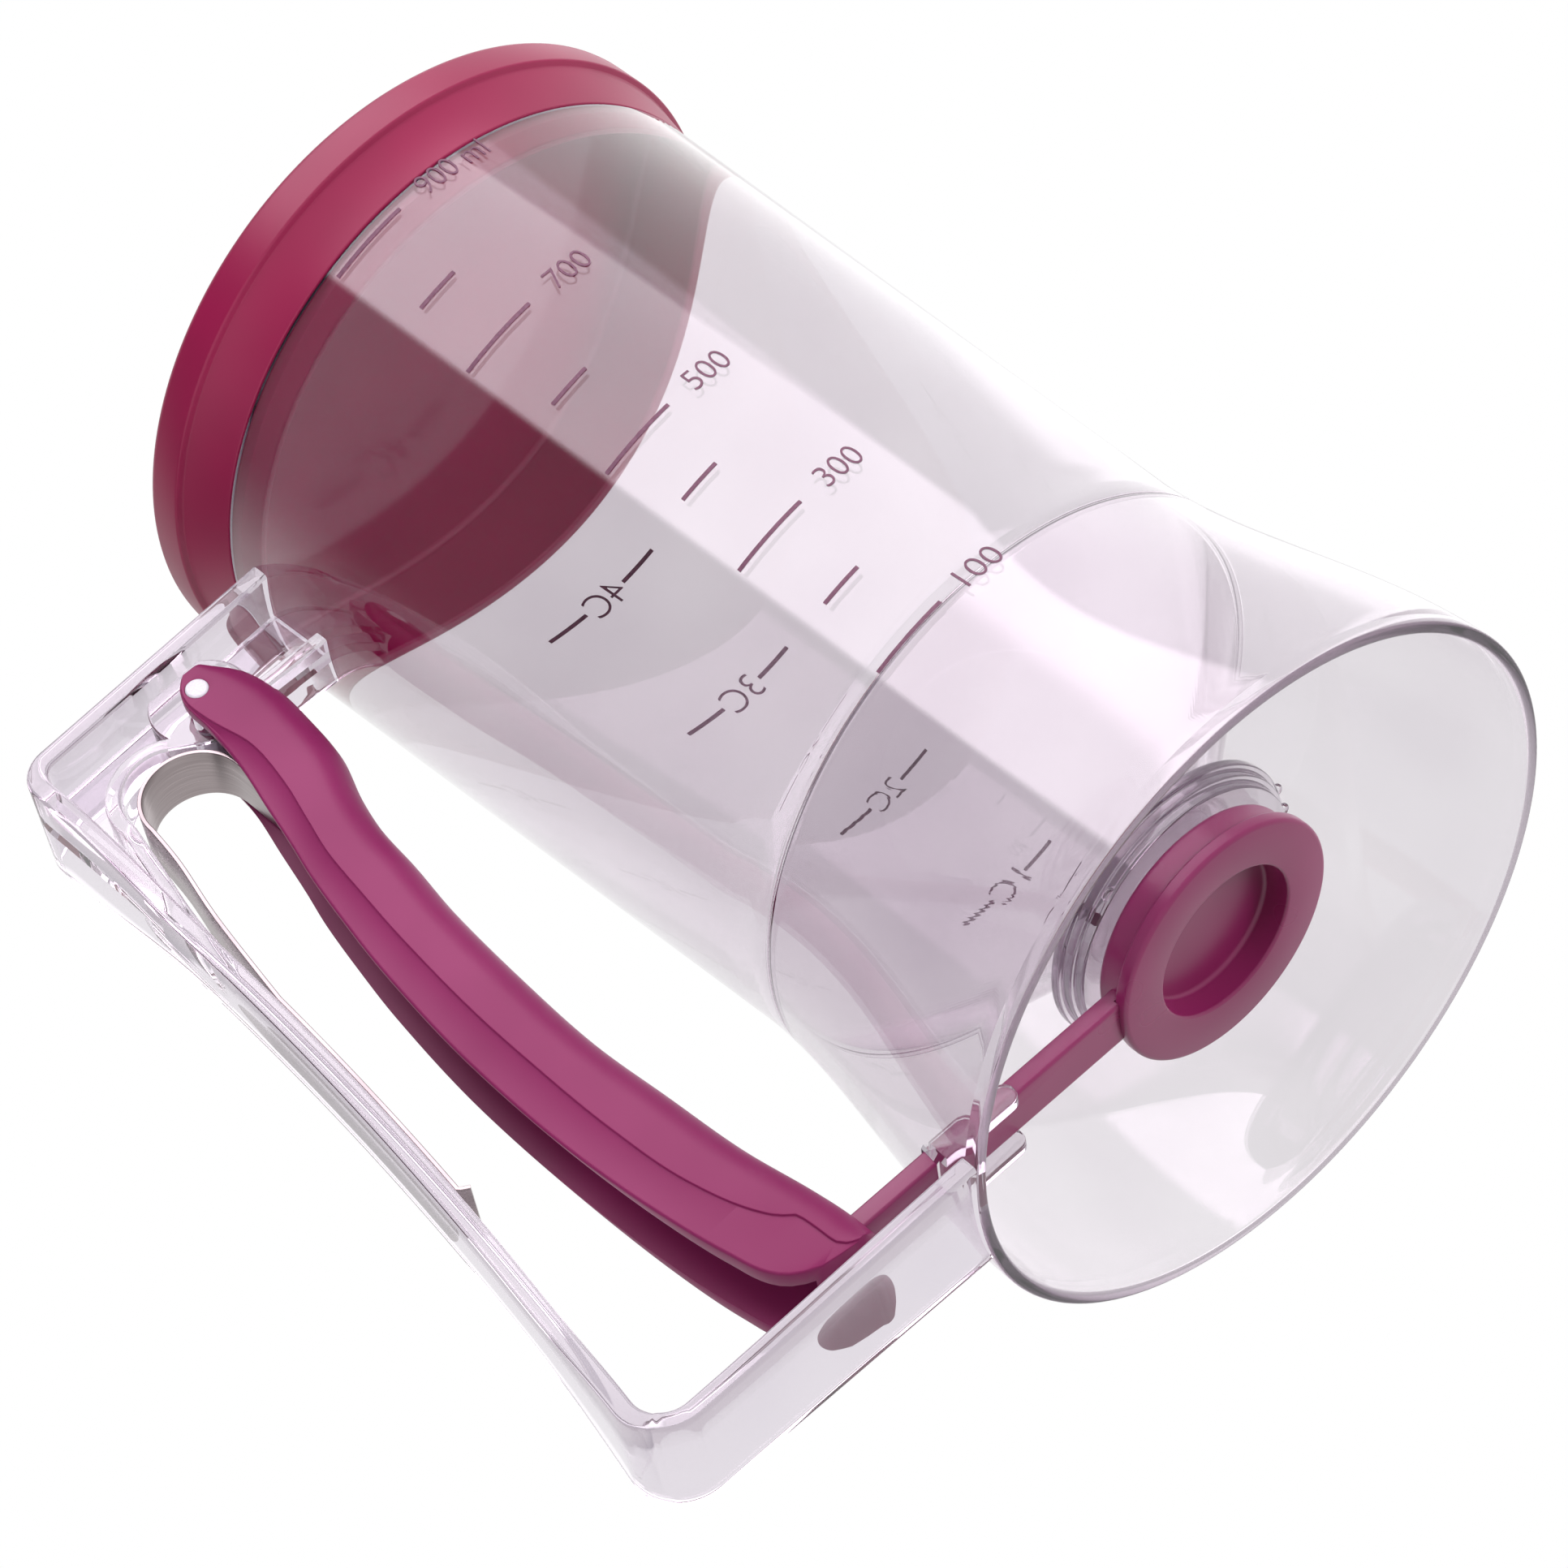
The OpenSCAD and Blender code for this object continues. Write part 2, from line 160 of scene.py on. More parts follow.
def around(tree: NodeTree, value: NodeSocket, middle: float, spread: float,
           limits: Point = (0.0, 1.0)) -> NodeSocket:
    """Lets a value swing a middle up and down.

    Args:
        tree: the node tree.
        value: the value that drives it.
        middle: the result halfway.
        spread: how far the result goes below and above it.
        limits: the value's two ends.

    Returns:
        The result's socket.
    """
    return add_node(tree, "MapRange", {"Value": value}, From_Min=limits[0], From_Max=limits[1],
                    To_Min=middle - spread, To_Max=middle + spread).outputs[0]


def new_material(name: str) -> tuple[Material, NodeTree]:
    """Makes an empty node material.

    Args:
        name: the material's name.

    Returns:
        The material and its cleared node tree.
    """
    material = bpy.data.materials.new(name)
    material.use_nodes = True
    material.node_tree.nodes.clear()
    return material, material.node_tree


def object_space(tree: NodeTree) -> NodeSocket:
    """Object coordinates, which are metres in the row's frame on every piece here."""
    return add_node(tree, "TexCoord").outputs["Object"]


def ramp(tree: NodeTree, source: NodeSocket, stops: Sequence[tuple[float, Colour]]) -> NodeSocket:
    """Maps a value to colours.

    Args:
        tree: the node tree.
        source: the value from 0 to 1.
        stops: pairs of position and linear colour, two of them.

    Returns:
        The colour output.
    """
    node = add_node(tree, "ValToRGB", {"Fac": source})
    for element, (place, colour) in zip(node.color_ramp.elements, stops):
        element.position = place
        element.color = colour
    return node.outputs["Color"]


@dataclass(frozen=True)
class ClearStyrene:
    """Clear styrene copolymer, injection moulded in a polished tool: glassy, with faint flow marks."""

    name: str = "clear_moulded_styrene"
    tint: str = "f6f3f6"
    flow_tint: str = "f0ecf0"
    depth_tint: str = "e4e0e4"
    absorption: float = 150.0
    shadow: str = "f6f2f5"
    deep: float = 4.5
    ior: float = 1.57
    roughness: float = 0.0
    flow_mm: float = 26.0
    flow_depth_mm: float = 0.05
    flow_strength: float = 0.25

    def material(self) -> Material:
        """Builds the node material."""
        material, tree = new_material(self.name)
        place = object_space(tree)
        # The melt's flow leaves broad soft waves, centimetres apart, that bend what is seen through.
        flow = noise(tree, place, self.flow_mm, 1.0)
        bump = add_node(tree, "Bump", {"Height": flow}, Strength=self.flow_strength,
                        Distance=self.flow_depth_mm * MM)
        colour = ramp(tree, flow, ((0.3, srgb(self.tint)), (0.7, srgb(self.flow_tint))))
        shader = add_node(tree, "BsdfPrincipled", {"Base Color": colour, "Normal": bump.outputs["Normal"]},
                          IOR=self.ior, Roughness=self.roughness, Transmission_Weight=1.0)
        # A thin clear wall casts hardly any shadow, so lamps light what is inside the jug.
        let = add_node(tree, "BsdfTransparent", Color=srgb(self.shadow))
        path = add_node(tree, "LightPath").outputs
        # Light that has bounced this often in a rim goes straight on; a real rim passes it as grey.
        deep = calc(tree, "GREATER_THAN", path["Ray Depth"], self.deep)
        soft = calc(tree, "MAXIMUM", path["Is Diffuse Ray"], deep)
        passes = calc(tree, "MAXIMUM", path["Is Shadow Ray"], soft)
        surface = mixed(tree, passes, shader, let)
        # Styrene takes a little light on the way through, so thick bars and edges look greyer than walls.
        inside = add_node(tree, "VolumeAbsorption", Color=srgb(self.depth_tint), Density=self.absorption)
        add_node(tree, "OutputMaterial", {"Surface": surface.outputs[0], "Volume": inside.outputs[0]})
        return material


@dataclass(frozen=True)
class MouldedMagenta:
    """Opaque magenta plastic moulded in a fine-blasted tool: an even semi-gloss with a soft edge."""

    name: str = "magenta_moulded_plastic"
    colour: str = "86265a"
    shade: str = "7c2052"
    ior: float = 1.5
    specular: float = 0.25
    roughness: float = 0.38
    roughness_spread: float = 0.04
    polished_r: float = -1.0
    polished_z: float = 175.0
    polished_fade: float = 0.5
    polished: float = 0.1
    blast_mm: float = 0.9
    blast_depth_mm: float = 0.012
    blast_strength: float = 0.08
    cloud_mm: float = 30.0

    def material(self) -> Material:
        """Builds the node material."""
        material, tree = new_material(self.name)
        place = object_space(tree)
        cloud = noise(tree, place, self.cloud_mm)
        # Real blasting is about 0.1 mm across; it is drawn coarser so that it shows at all.
        blast = noise(tree, place, self.blast_mm, 3.0)
        bump = add_node(tree, "Bump", {"Height": blast}, Strength=self.blast_strength,
                        Distance=self.blast_depth_mm * MM)
        colour = ramp(tree, cloud, ((0.35, srgb(self.colour)), (0.65, srgb(self.shade))))
        rough = around(tree, cloud, self.roughness, self.roughness_spread, (0.3, 0.7))
        # A plug that seals in a bore comes from a polished part of the tool, so it mirrors the lamps.
        flat = add_node(tree, "VectorMath", {0: place}, operation="MULTIPLY")
        flat.inputs[1].default_value = (1, 1, 0)
        away = add_node(tree, "VectorMath", {0: flat.outputs[0]}, operation="LENGTH").outputs["Value"]
        height = add_node(tree, "SeparateXYZ", {"Vector": place}).outputs["Z"]
        outside = [add_node(tree, "MapRange", {"Value": value, "To Max": rough}, From_Min=edge * MM,
                            From_Max=(edge + self.polished_fade) * MM, To_Min=self.polished).outputs[0]
                   for value, edge in ((away, self.polished_r), (height, self.polished_z))]
        rougher = calc(tree, "MAXIMUM", *outside)
        shader = add_node(tree, "BsdfPrincipled", {"Base Color": colour, "Roughness": rougher,
                                                   "Normal": bump.outputs["Normal"]},
                          IOR=self.ior, Specular_IOR_Level=self.specular)
        add_node(tree, "OutputMaterial", {"Surface": shader.outputs[0]})
        return material


@dataclass(frozen=True)
class StainlessStrip:
    """Cold-rolled stainless spring strip: bright metal with fine rolling lines along its length."""

    colour: str = "a69b9c"
    worn: str = "968b8c"
    roughness: float = 0.3
    roughness_spread: float = 0.08
    line_mm: float = 0.25
    run_mm: float = 12.0

    def material(self) -> Material:
        """Builds the node material."""
        material, tree = new_material("rolled_stainless_strip")
        place = object_space(tree)
        across, along = 1 / (self.line_mm * MM), 1 / (self.run_mm * MM)
        stretched = add_node(tree, "Mapping", {"Vector": place}, Scale=(along, across, along))
        # Rolling lines are microns wide; they are drawn a quarter of a millimetre apart to show.
        lines = add_node(tree, "TexNoise", {"Vector": stretched.outputs[0]}, Scale=1.0, Detail=3.0)
        lines = lines.outputs["Fac"]
        colour = ramp(tree, lines, ((0.3, srgb(self.colour)), (0.7, srgb(self.worn))))
        rough = around(tree, lines, self.roughness, self.roughness_spread)
        shader = add_node(tree, "BsdfPrincipled", {"Base Color": colour, "Roughness": rough}, Metallic=1.0)
        add_node(tree, "OutputMaterial", {"Surface": shader.outputs[0]})
        return material


@dataclass(frozen=True)
class GrainedFinish:
    """An even finish that only a fine grain of two close colours breaks up."""

    name: str = "grained"
    colour: str = "ffffff"
    shade: str = "f0f0f0"
    shade_from: float = 0.35
    shade_to: float = 0.65
    grain_mm: float = 0.5
    roughness: float = 0.5
    ior: float = 1.5
    subsurface: float = 0.0
    subsurface_mm: float = 50.0

    def material(self) -> Material:
        """Builds the node material."""
        material, tree = new_material(self.name)
        grain = noise(tree, object_space(tree), self.grain_mm)
        colour = ramp(tree, grain, ((self.shade_from, srgb(self.colour)), (self.shade_to, srgb(self.shade))))
        shader = add_node(tree, "BsdfPrincipled", {"Base Color": colour}, Roughness=self.roughness,
                          IOR=self.ior, Subsurface_Weight=self.subsurface,
                          Subsurface_Scale=self.subsurface_mm * MM)
        add_node(tree, "OutputMaterial", {"Surface": shader.outputs[0]})
        return material


@dataclass(frozen=True)
class SoftSilicone(GrainedFinish):
    """Translucent silicone rubber, moulded: matt, milky, with a fine dusty grain."""

    name: str = "moulded_silicone"
    colour: str = "dcd6dc"
    shade: str = "cfc8d0"
    grain_mm: float = 0.6
    roughness: float = 0.6
    subsurface: float = 0.2
    subsurface_mm: float = 2.0


@dataclass(frozen=True)
class MilkyAcetal(GrainedFinish):
    """White acetal, turned: the pin's slightly waxy, even white."""

    name: str = "turned_acetal"
    colour: str = "e2dce6"
    shade: str = "d3ccd9"
    grain_mm: float = 0.3
    roughness: float = 0.35
    ior: float = 1.48


@dataclass(frozen=True)
class ScreenInk(GrainedFinish):
    """Screen-printed ink: a thin matt film, a little uneven where the mesh lifted off."""

    name: str = "screen_printed_ink"
    colour: str = "5c2f48"
    shade: str = "6d4158"
    shade_from: float = 0.4


# ---------------------------------------------------------------- mesh helpers


def linked(name: str, data: ID) -> Object:
    """Makes an object of its data and links it to the scene."""
    item = bpy.data.objects.new(name, data)
    bpy.context.collection.objects.link(item)
    return item


def link_mesh(name: str, work: BMesh) -> Object:
    """Turns a bmesh, which is freed, into a linked object."""
    mesh = bpy.data.meshes.new(name)
    work.to_mesh(mesh)
    work.free()
    return linked(name, mesh)


def make_piece(name: str, work: BMesh) -> Object:
    """Turns a bmesh in mm into a smooth-shaded object in metres.

    Args:
        name: the object's name.
        work: the bmesh, which is freed.

    Returns:
        The linked object.
    """
    bmesh.ops.recalc_face_normals(work, faces=work.faces)
    bmesh.ops.scale(work, vec=(MM, MM, MM), verts=work.verts)
    piece = link_mesh(name, work)
    shade(piece)
    return piece


def shade(piece: Object) -> None:
    """Smooth shading, with sharp edges where faces meet at more than SMOOTH_ANGLE."""
    piece.data.polygons.foreach_set("use_smooth", [True] * len(piece.data.polygons))
    piece.data.set_sharp_from_angle(angle=SMOOTH_ANGLE)


def arc(cx: float, cy: float, radius: float, start: float, end: float, steps: int) -> list[Point]:
    """Points on a circle.

    Args:
        cx: centre's first coordinate.
        cy: centre's second coordinate.
        radius: radius in mm.
        start: first angle in degrees.
        end: last angle in degrees.
        steps: how many chords.

    Returns:
        steps + 1 points.
    """
    angles = [math.radians(start + (end - start) * i / steps) for i in range(steps + 1)]
    return [(cx + radius * math.cos(a), cy + radius * math.sin(a)) for a in angles]


def circle(centre: Point, radius: float, steps: int = 48) -> list[Point]:
    """Points all the way round a circle, each once."""
    return arc(*centre, radius, 0, 360, steps)[:-1]


def span(start: float, end: float, steps: int) -> list[float]:
    """Evenly spaced values from start to end, both included."""
    return [start + (end - start) * i / steps for i in range(steps + 1)]


def ease(u: float) -> float:
    """Smooth step from 0 to 1."""
    u = max(0.0, min(1.0, u))
    return u * u * (3 - 2 * u)


def mix(a: float, b: float, u: float) -> float:
    """Straight mix of two values."""
    return a + (b - a) * u


def rounded(corners: Sequence[Triple], steps: int = 4) -> list[Point]:
    """Rounds the corners of a closed outline.

    Args:
        corners: points with the rounding radius wanted at each, 0 for none.
        steps: chords in each rounding.

    Returns:
        The outline's points.
    """
    points = []
    count = len(corners)
    for i, (x, y, radius) in enumerate(corners):
        here = Vector((x, y))
        to_last = Vector(corners[i - 1][:2]) - here
        to_next = Vector(corners[(i + 1) % count][:2]) - here
        turn = to_last.angle(to_next)
        if radius <= 0 or turn > math.radians(178):
            points.append((x, y))
            continue
        reach = min(radius / math.tan(turn / 2), to_last.length * 0.49, to_next.length * 0.49)
        radius = reach * math.tan(turn / 2)
        middle = here + (to_last.normalized() + to_next.normalized()).normalized() * (
            radius / math.sin(turn / 2))
        first = here + to_last.normalized() * reach - middle
        last = here + to_next.normalized() * reach - middle
        sweep = first.angle_signed(last)
        for j in range(steps + 1):
            spoke = first.copy()
            spoke.rotate(Matrix.Rotation(-sweep * j / steps, 2))
            points.append(tuple(middle + spoke))
    return points


def lathe(name: str, outline: Sequence[Point], steps: int = TURN_STEPS) -> Object:
    """Turns a closed outline of radius and height about the Z axis.

    Args:
        name: the object's name.
        outline: points in mm; a point on the axis has radius 0.
        steps: segments round the axis.

    Returns:
        The turned solid.
    """
    work = bmesh.new()
    rings = []
    for radius, height in outline:
        if radius < AXIS_RADIUS:
            rings.append([work.verts.new((0, 0, height))])
            continue
        angles = [2 * math.pi * i / steps for i in range(steps)]
        rings.append([work.verts.new((radius * math.cos(a), radius * math.sin(a), height)) for a in angles])
    for lower, upper in zip(rings, rings[1:] + rings[:1]):
        for i in range(steps):
            j = (i + 1) % steps
            corners = [lower[k % len(lower)] for k in (i, j)] + [upper[k % len(upper)] for k in (j, i)]
            distinct = list(dict.fromkeys(corners))
            if len(distinct) > 2:
                work.faces.new(distinct)
    return make_piece(name, work)


def disc(name: str, radius: float, levels: Point, edges: Point = (0.0, 0.0), steps: int = TURN_STEPS
         ) -> Object:
    """Turns a disc about the Z axis.

    Args:
        name: the object's name.
        radius: its radius in mm.
        levels: its lower and upper face, as heights in mm.
        edges: rounding radius of its lower and upper edge in mm.
        steps: segments round the axis.

    Returns:
        The disc as a solid.
    """
    (low, high), (under, over) = levels, edges
    corners = [(0, low, 0), (radius, low, under), (radius, high, over), (0, high, 0)]
    return lathe(name, rounded(corners), steps)


def skin(rings: Sequence[Sequence[Sequence[float]]]) -> BMesh:
    """Skins a run of rings of points and caps both ends.

    Args:
        rings: rings with equal numbers of points, in mm.

    Returns:
        The closed solid as a bmesh.
    """
    work = bmesh.new()
    loops = [[work.verts.new(p) for p in ring] for ring in rings]
    count = len(loops[0])
    for lower, upper in zip(loops, loops[1:]):
        for i in range(count):
            j = (i + 1) % count
            work.faces.new((lower[i], lower[j], upper[j], upper[i]))
    work.faces.new(loops[0][::-1])
    work.faces.new(loops[-1])
    return work


def bridge(name: str, rings: Sequence[Sequence[Vector]]) -> Object:
    """Makes a closed solid from rings with equal numbers of points, in mm."""
    return make_piece(name, skin(rings))


def across(name: str, outline: Sequence[Point], half_width: float, edge: float = 0.0) -> Object:
    """Extrudes an outline drawn in x and z to a half width either side of y = 0.

    Args:
        name: the object's name.
        outline: closed outline in mm.
        half_width: half the thickness in mm.
        edge: width of the bevel on its long edges in mm.

    Returns:
        The solid.
    """
    piece = bridge(name, [[Vector((x, y, z)) for x, z in outline] for y in (-half_width, half_width)])
    if edge > 0:
        round_edges(piece, edge)
    return piece


def rectangle(low_x: float, low_z: float, high_x: float, high_z: float) -> list[Point]:
    """Corners of a rectangle in x and z, in mm."""
    return [(low_x, low_z), (high_x, low_z), (high_x, high_z), (low_x, high_z)]


def round_edges(piece: Object, width: float, steps: int = 3) -> None:
    """Rounds edges sharper than SMOOTH_ANGLE and keeps the result as the mesh.

    Args:
        piece: the object.
        width: rounding width in mm.
        steps: chords in the rounding.
    """
    bevel = piece.modifiers.new("edge", "BEVEL")
    bevel.width = width * MM
    bevel.segments = steps
    bevel.limit_method = "ANGLE"
    bevel.angle_limit = SMOOTH_ANGLE
    keep_modifiers(piece)


def keep_modifiers(piece: Object) -> None:
    """Replaces the mesh by what its modifiers make of it."""
    bpy.context.view_layer.update()
    graph = bpy.context.evaluated_depsgraph_get()
    mesh = bpy.data.meshes.new_from_object(piece.evaluated_get(graph))
    piece.modifiers.clear()
    piece.data = mesh
    shade(piece)


def combine(piece: Object, tool: Object, how: Cut) -> Object:
    """Joins or removes a second solid, which is then deleted.

    Args:
        piece: the object that stays.
        tool: the object that is used up.
        how: which operation.

    Returns:
        The changed piece.
    """
    step = piece.modifiers.new("combine", "BOOLEAN")
    step.operation = how.value
    step.object = tool
    step.solver = "EXACT"
    keep_modifiers(piece)
    bpy.data.objects.remove(tool, do_unlink=True)
    return piece


def left_of(path: Sequence[Point], i: int) -> Vector:
    """Left-hand unit normal of a path at one of its points."""
    ahead = Vector(path[min(i + 1, len(path) - 1)]) - Vector(path[max(i - 1, 0)])
    return Vector((-ahead.y, ahead.x)).normalized()


def smooth_path(points: Sequence[Point], per_leg: int) -> list[Point]:
    """Runs a smooth curve through points.

    Args:
        points: the points to pass through.
        per_leg: how many chords between neighbours.

    Returns:
        The curve's points, ends included.
    """
    out = []
    knots = [Vector(p) for p in points]
    for i in range(len(knots) - 1):
        before = knots[max(i - 1, 0)]
        a, b = knots[i], knots[i + 1]
        after = knots[min(i + 2, len(knots) - 1)]
        for j in range(per_leg):
            u = j / per_leg
            out.append(tuple(0.5 * (2 * a + (b - before) * u + (2 * before - 5 * a + 4 * b - after) * u * u
                                    + (3 * a - before - 3 * b + after) * u ** 3)))
    return out + [tuple(knots[-1])]


def strap(name: str, path: Sequence[Point], thickness: float, half_width: Callable[[float, float], float],
          edge: float) -> Object:
    """Sweeps a rounded bar along a path in the XZ plane; the bar lies to the path's left.

    Args:
        name: the object's name.
        path: points of x and z in mm along its right-hand face.
        thickness: thickness in mm.
        half_width: half width in mm at a point's x and z.
        edge: rounding radius of the bar's four long edges in mm.

    Returns:
        The bar as a solid.
    """
    rings = []
    for i, (x, z) in enumerate(path):
        normal = left_of(path, i)
        w = half_width(x, z)
        corners = [(-w, 0, edge), (w, 0, edge), (w, thickness, edge), (-w, thickness, edge)]
        rings.append([Vector((x + normal.x * depth, side, z + normal.y * depth))
                      for side, depth in rounded(corners)])
    return bridge(name, rings)


def report(piece: Object) -> None:
    """Logs a finished piece."""
    LOG.info("%s: %d faces", piece.name, len(piece.data.polygons))


def dress(piece: Object, material: Material, body: Body, slot: str, *nodes: str) -> Object:
    """Gives a piece its material and ties it to the frame.

    Args:
        piece: the object.
        material: its finish.
        body: the CAD body it rides on.
        slot: not used.
        nodes: the CAD nodes it stands for.

    Returns:
        The piece.
    """
    piece.data.materials.clear()
    piece.data.materials.append(material)
    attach(piece, body.value)
    if nodes:
        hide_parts(*nodes)
    report(piece)
    return piece


# ---------------------------------------------------------------- the jug


@dataclass
class Jug:
    """Tank with its funnel and spout, the flared skirt and the stepped ring."""

    rim_z: float = 166.5
    rim_r: float = 50.6
    waist_r: float = 48.0
    foot_r: float = 56.0
    wall: float = 2.0
    joint_z: float = 50.0
    flare_z: float = 58.0
    land: float = 3.0
    spout_r: float = 8.0
    spout_z: float = 15.4
    funnel_z: float = 22.0
    ring_r: float = 22.5
    step_h: float = 1.5
    step_r: float = 0.9
    nub_r: float = 1.1
    nub_levels: Point = (0.3, 1.2)
    slot_half_w: float = 4.3
    slot_low: float = 8.5
    slot_high: float = 12.1
    guide_in: float = 12.5
    guide_w: float = 2.0
    guide_r: float = 2.0
    guide_z: float = 8.8
    nub_turns: Triple = (-128, -8, 112)
    air: float = 0.04

    def wall_r(self, z: float) -> float:
        """Outer radius of the skirt and tank at a height, in mm."""
        taper = max(0.0, (z - self.flare_z) / (self.rim_z - self.flare_z))
        flare = ease((self.flare_z - z) / self.flare_z)
        return (self.waist_r + (self.rim_r - self.waist_r) * taper
                + (self.foot_r - self.waist_r) * flare)

    def tank(self) -> Object:
        """The wall, the funnel and the spout as one turned solid."""
        inner = self.joint_z + self.wall
        bore = self.rim_r - self.wall
        outside = [(self.wall_r(z), z, 0) for z in span(self.joint_z + 0.4, self.flare_z + 4, 6)]
        inside = [(self.wall_r(z) - self.wall, z, 0) for z in span(self.flare_z + 4, inner + 1.5, 6)]
        joint_r = self.wall_r(self.joint_z) - self.wall
        out_r = self.spout_r + self.wall
        corners = ([(self.wall_r(self.joint_z), self.joint_z, 0.3)] + outside
                   + [(self.rim_r, self.rim_z, 0.5), (bore, self.rim_z, 0.5)] + inside
                   + [(joint_r - 0.6, inner - 0.6, 2.0), (self.spout_r, self.funnel_z, 3.0),
                      (self.spout_r, self.spout_z, 0.4), (out_r, self.spout_z, 0.4),
                      (out_r, self.funnel_z - self.wall / 2, 3.0), (joint_r, self.joint_z, 0.5)])
        return lathe("tank_shell", rounded(corners))

    def skirt(self) -> Object:
        """The flared skirt, with the pull arm's slot and the two guides inside it."""
        top = self.joint_z - self.air
        foot_in = self.foot_r - self.wall
        outside = [(self.wall_r(z), z, 0) for z in span(1.2, top - 0.8, 30)]
        inside = [(self.wall_r(z) - self.wall, z, 0) for z in span(top - 0.8, self.land + 0.8, 30)]
        corners = ([(self.foot_r, 0, 0.5)] + outside + [(self.wall_r(top), top, 0.3)]
                   + [(self.wall_r(top) - self.wall, top, 0.3)] + inside
                   + [(foot_in, self.land, 0.3), (foot_in, 0, 0.5)])
        skirt = lathe("base_skirt_shell", rounded(corners))
        wall_x = -self.wall_r(self.slot_low) + self.wall / 2
        low, end, radius = self.guide_z - self.guide_r, wall_x + self.guide_in, self.guide_r
        for side in (-1, 1):
            middle = side * (self.slot_half_w + self.guide_w / 2)
            outline = ([(wall_x, low)] + arc(end, self.guide_z, radius, -90, 90, 12)
                       + [(wall_x, low + 2 * radius)])
            guide = bridge("guide", [[Vector((x, middle + y, z)) for x, z in outline]
                                     for y in (-self.guide_w / 2, self.guide_w / 2)])
            round_edges(guide, 0.3)
            combine(skirt, guide, Cut.JOIN)
        slot = rectangle(-self.foot_r, self.slot_low, -self.foot_r + 13, self.slot_high)
        return combine(skirt, across("slot", slot, self.slot_half_w), Cut.REMOVE)

    def ring(self) -> Object:
        """The three-step ring round the spout with its paired nubs."""
        bore = self.spout_r + self.wall + self.air
        low = self.spout_z
        corners = [(bore, low, 0.2)]
        for i in range(3):
            radius = self.ring_r - (2 - i) * self.step_r
            corners += [(radius, low + i * self.step_h, 0.25 if i else 0.4),
                        (radius, low + (i + 1) * self.step_h, 0.3)]
        corners += [(bore, low + 3 * self.step_h, 0.2)]
        ring = lathe("nozzle_ring_body", rounded(corners))
        for turn in self.nub_turns:
            for radius, level in ((self.ring_r - 2 * self.step_r, 0), (self.ring_r, 2)):
                nub = disc("nub", self.nub_r, self.nub_levels, (0.4, 0.4), 32)
                at = Vector((radius, 0, low + level * self.step_h)) * MM
                nub.data.transform(Matrix.Rotation(math.radians(turn), 4, "Z") @ Matrix.Translation(at))
                combine(ring, nub, Cut.JOIN)
        return ring

    def core(self, gap: float) -> Object:
        """The jug's outer form filled solid, larger all round by a gap in mm."""
        outline = [(0, -1), (self.foot_r + gap, -1)] + [
            (self.wall_r(z) + gap, z) for z in span(0, self.rim_z, 60)] + [(0, self.rim_z)]
        return lathe("core", outline)

    def build(self, clear: Material) -> None:
        """Makes and dresses the jug's three clear pieces."""
        for make, node in ((self.tank, "tank"), (self.skirt, "base_skirt"), (self.ring, "nozzle_ring")):
            dress(make(), clear, Body.CONTAINER, "clear_plastic", node)


# ---------------------------------------------------------------- the handle


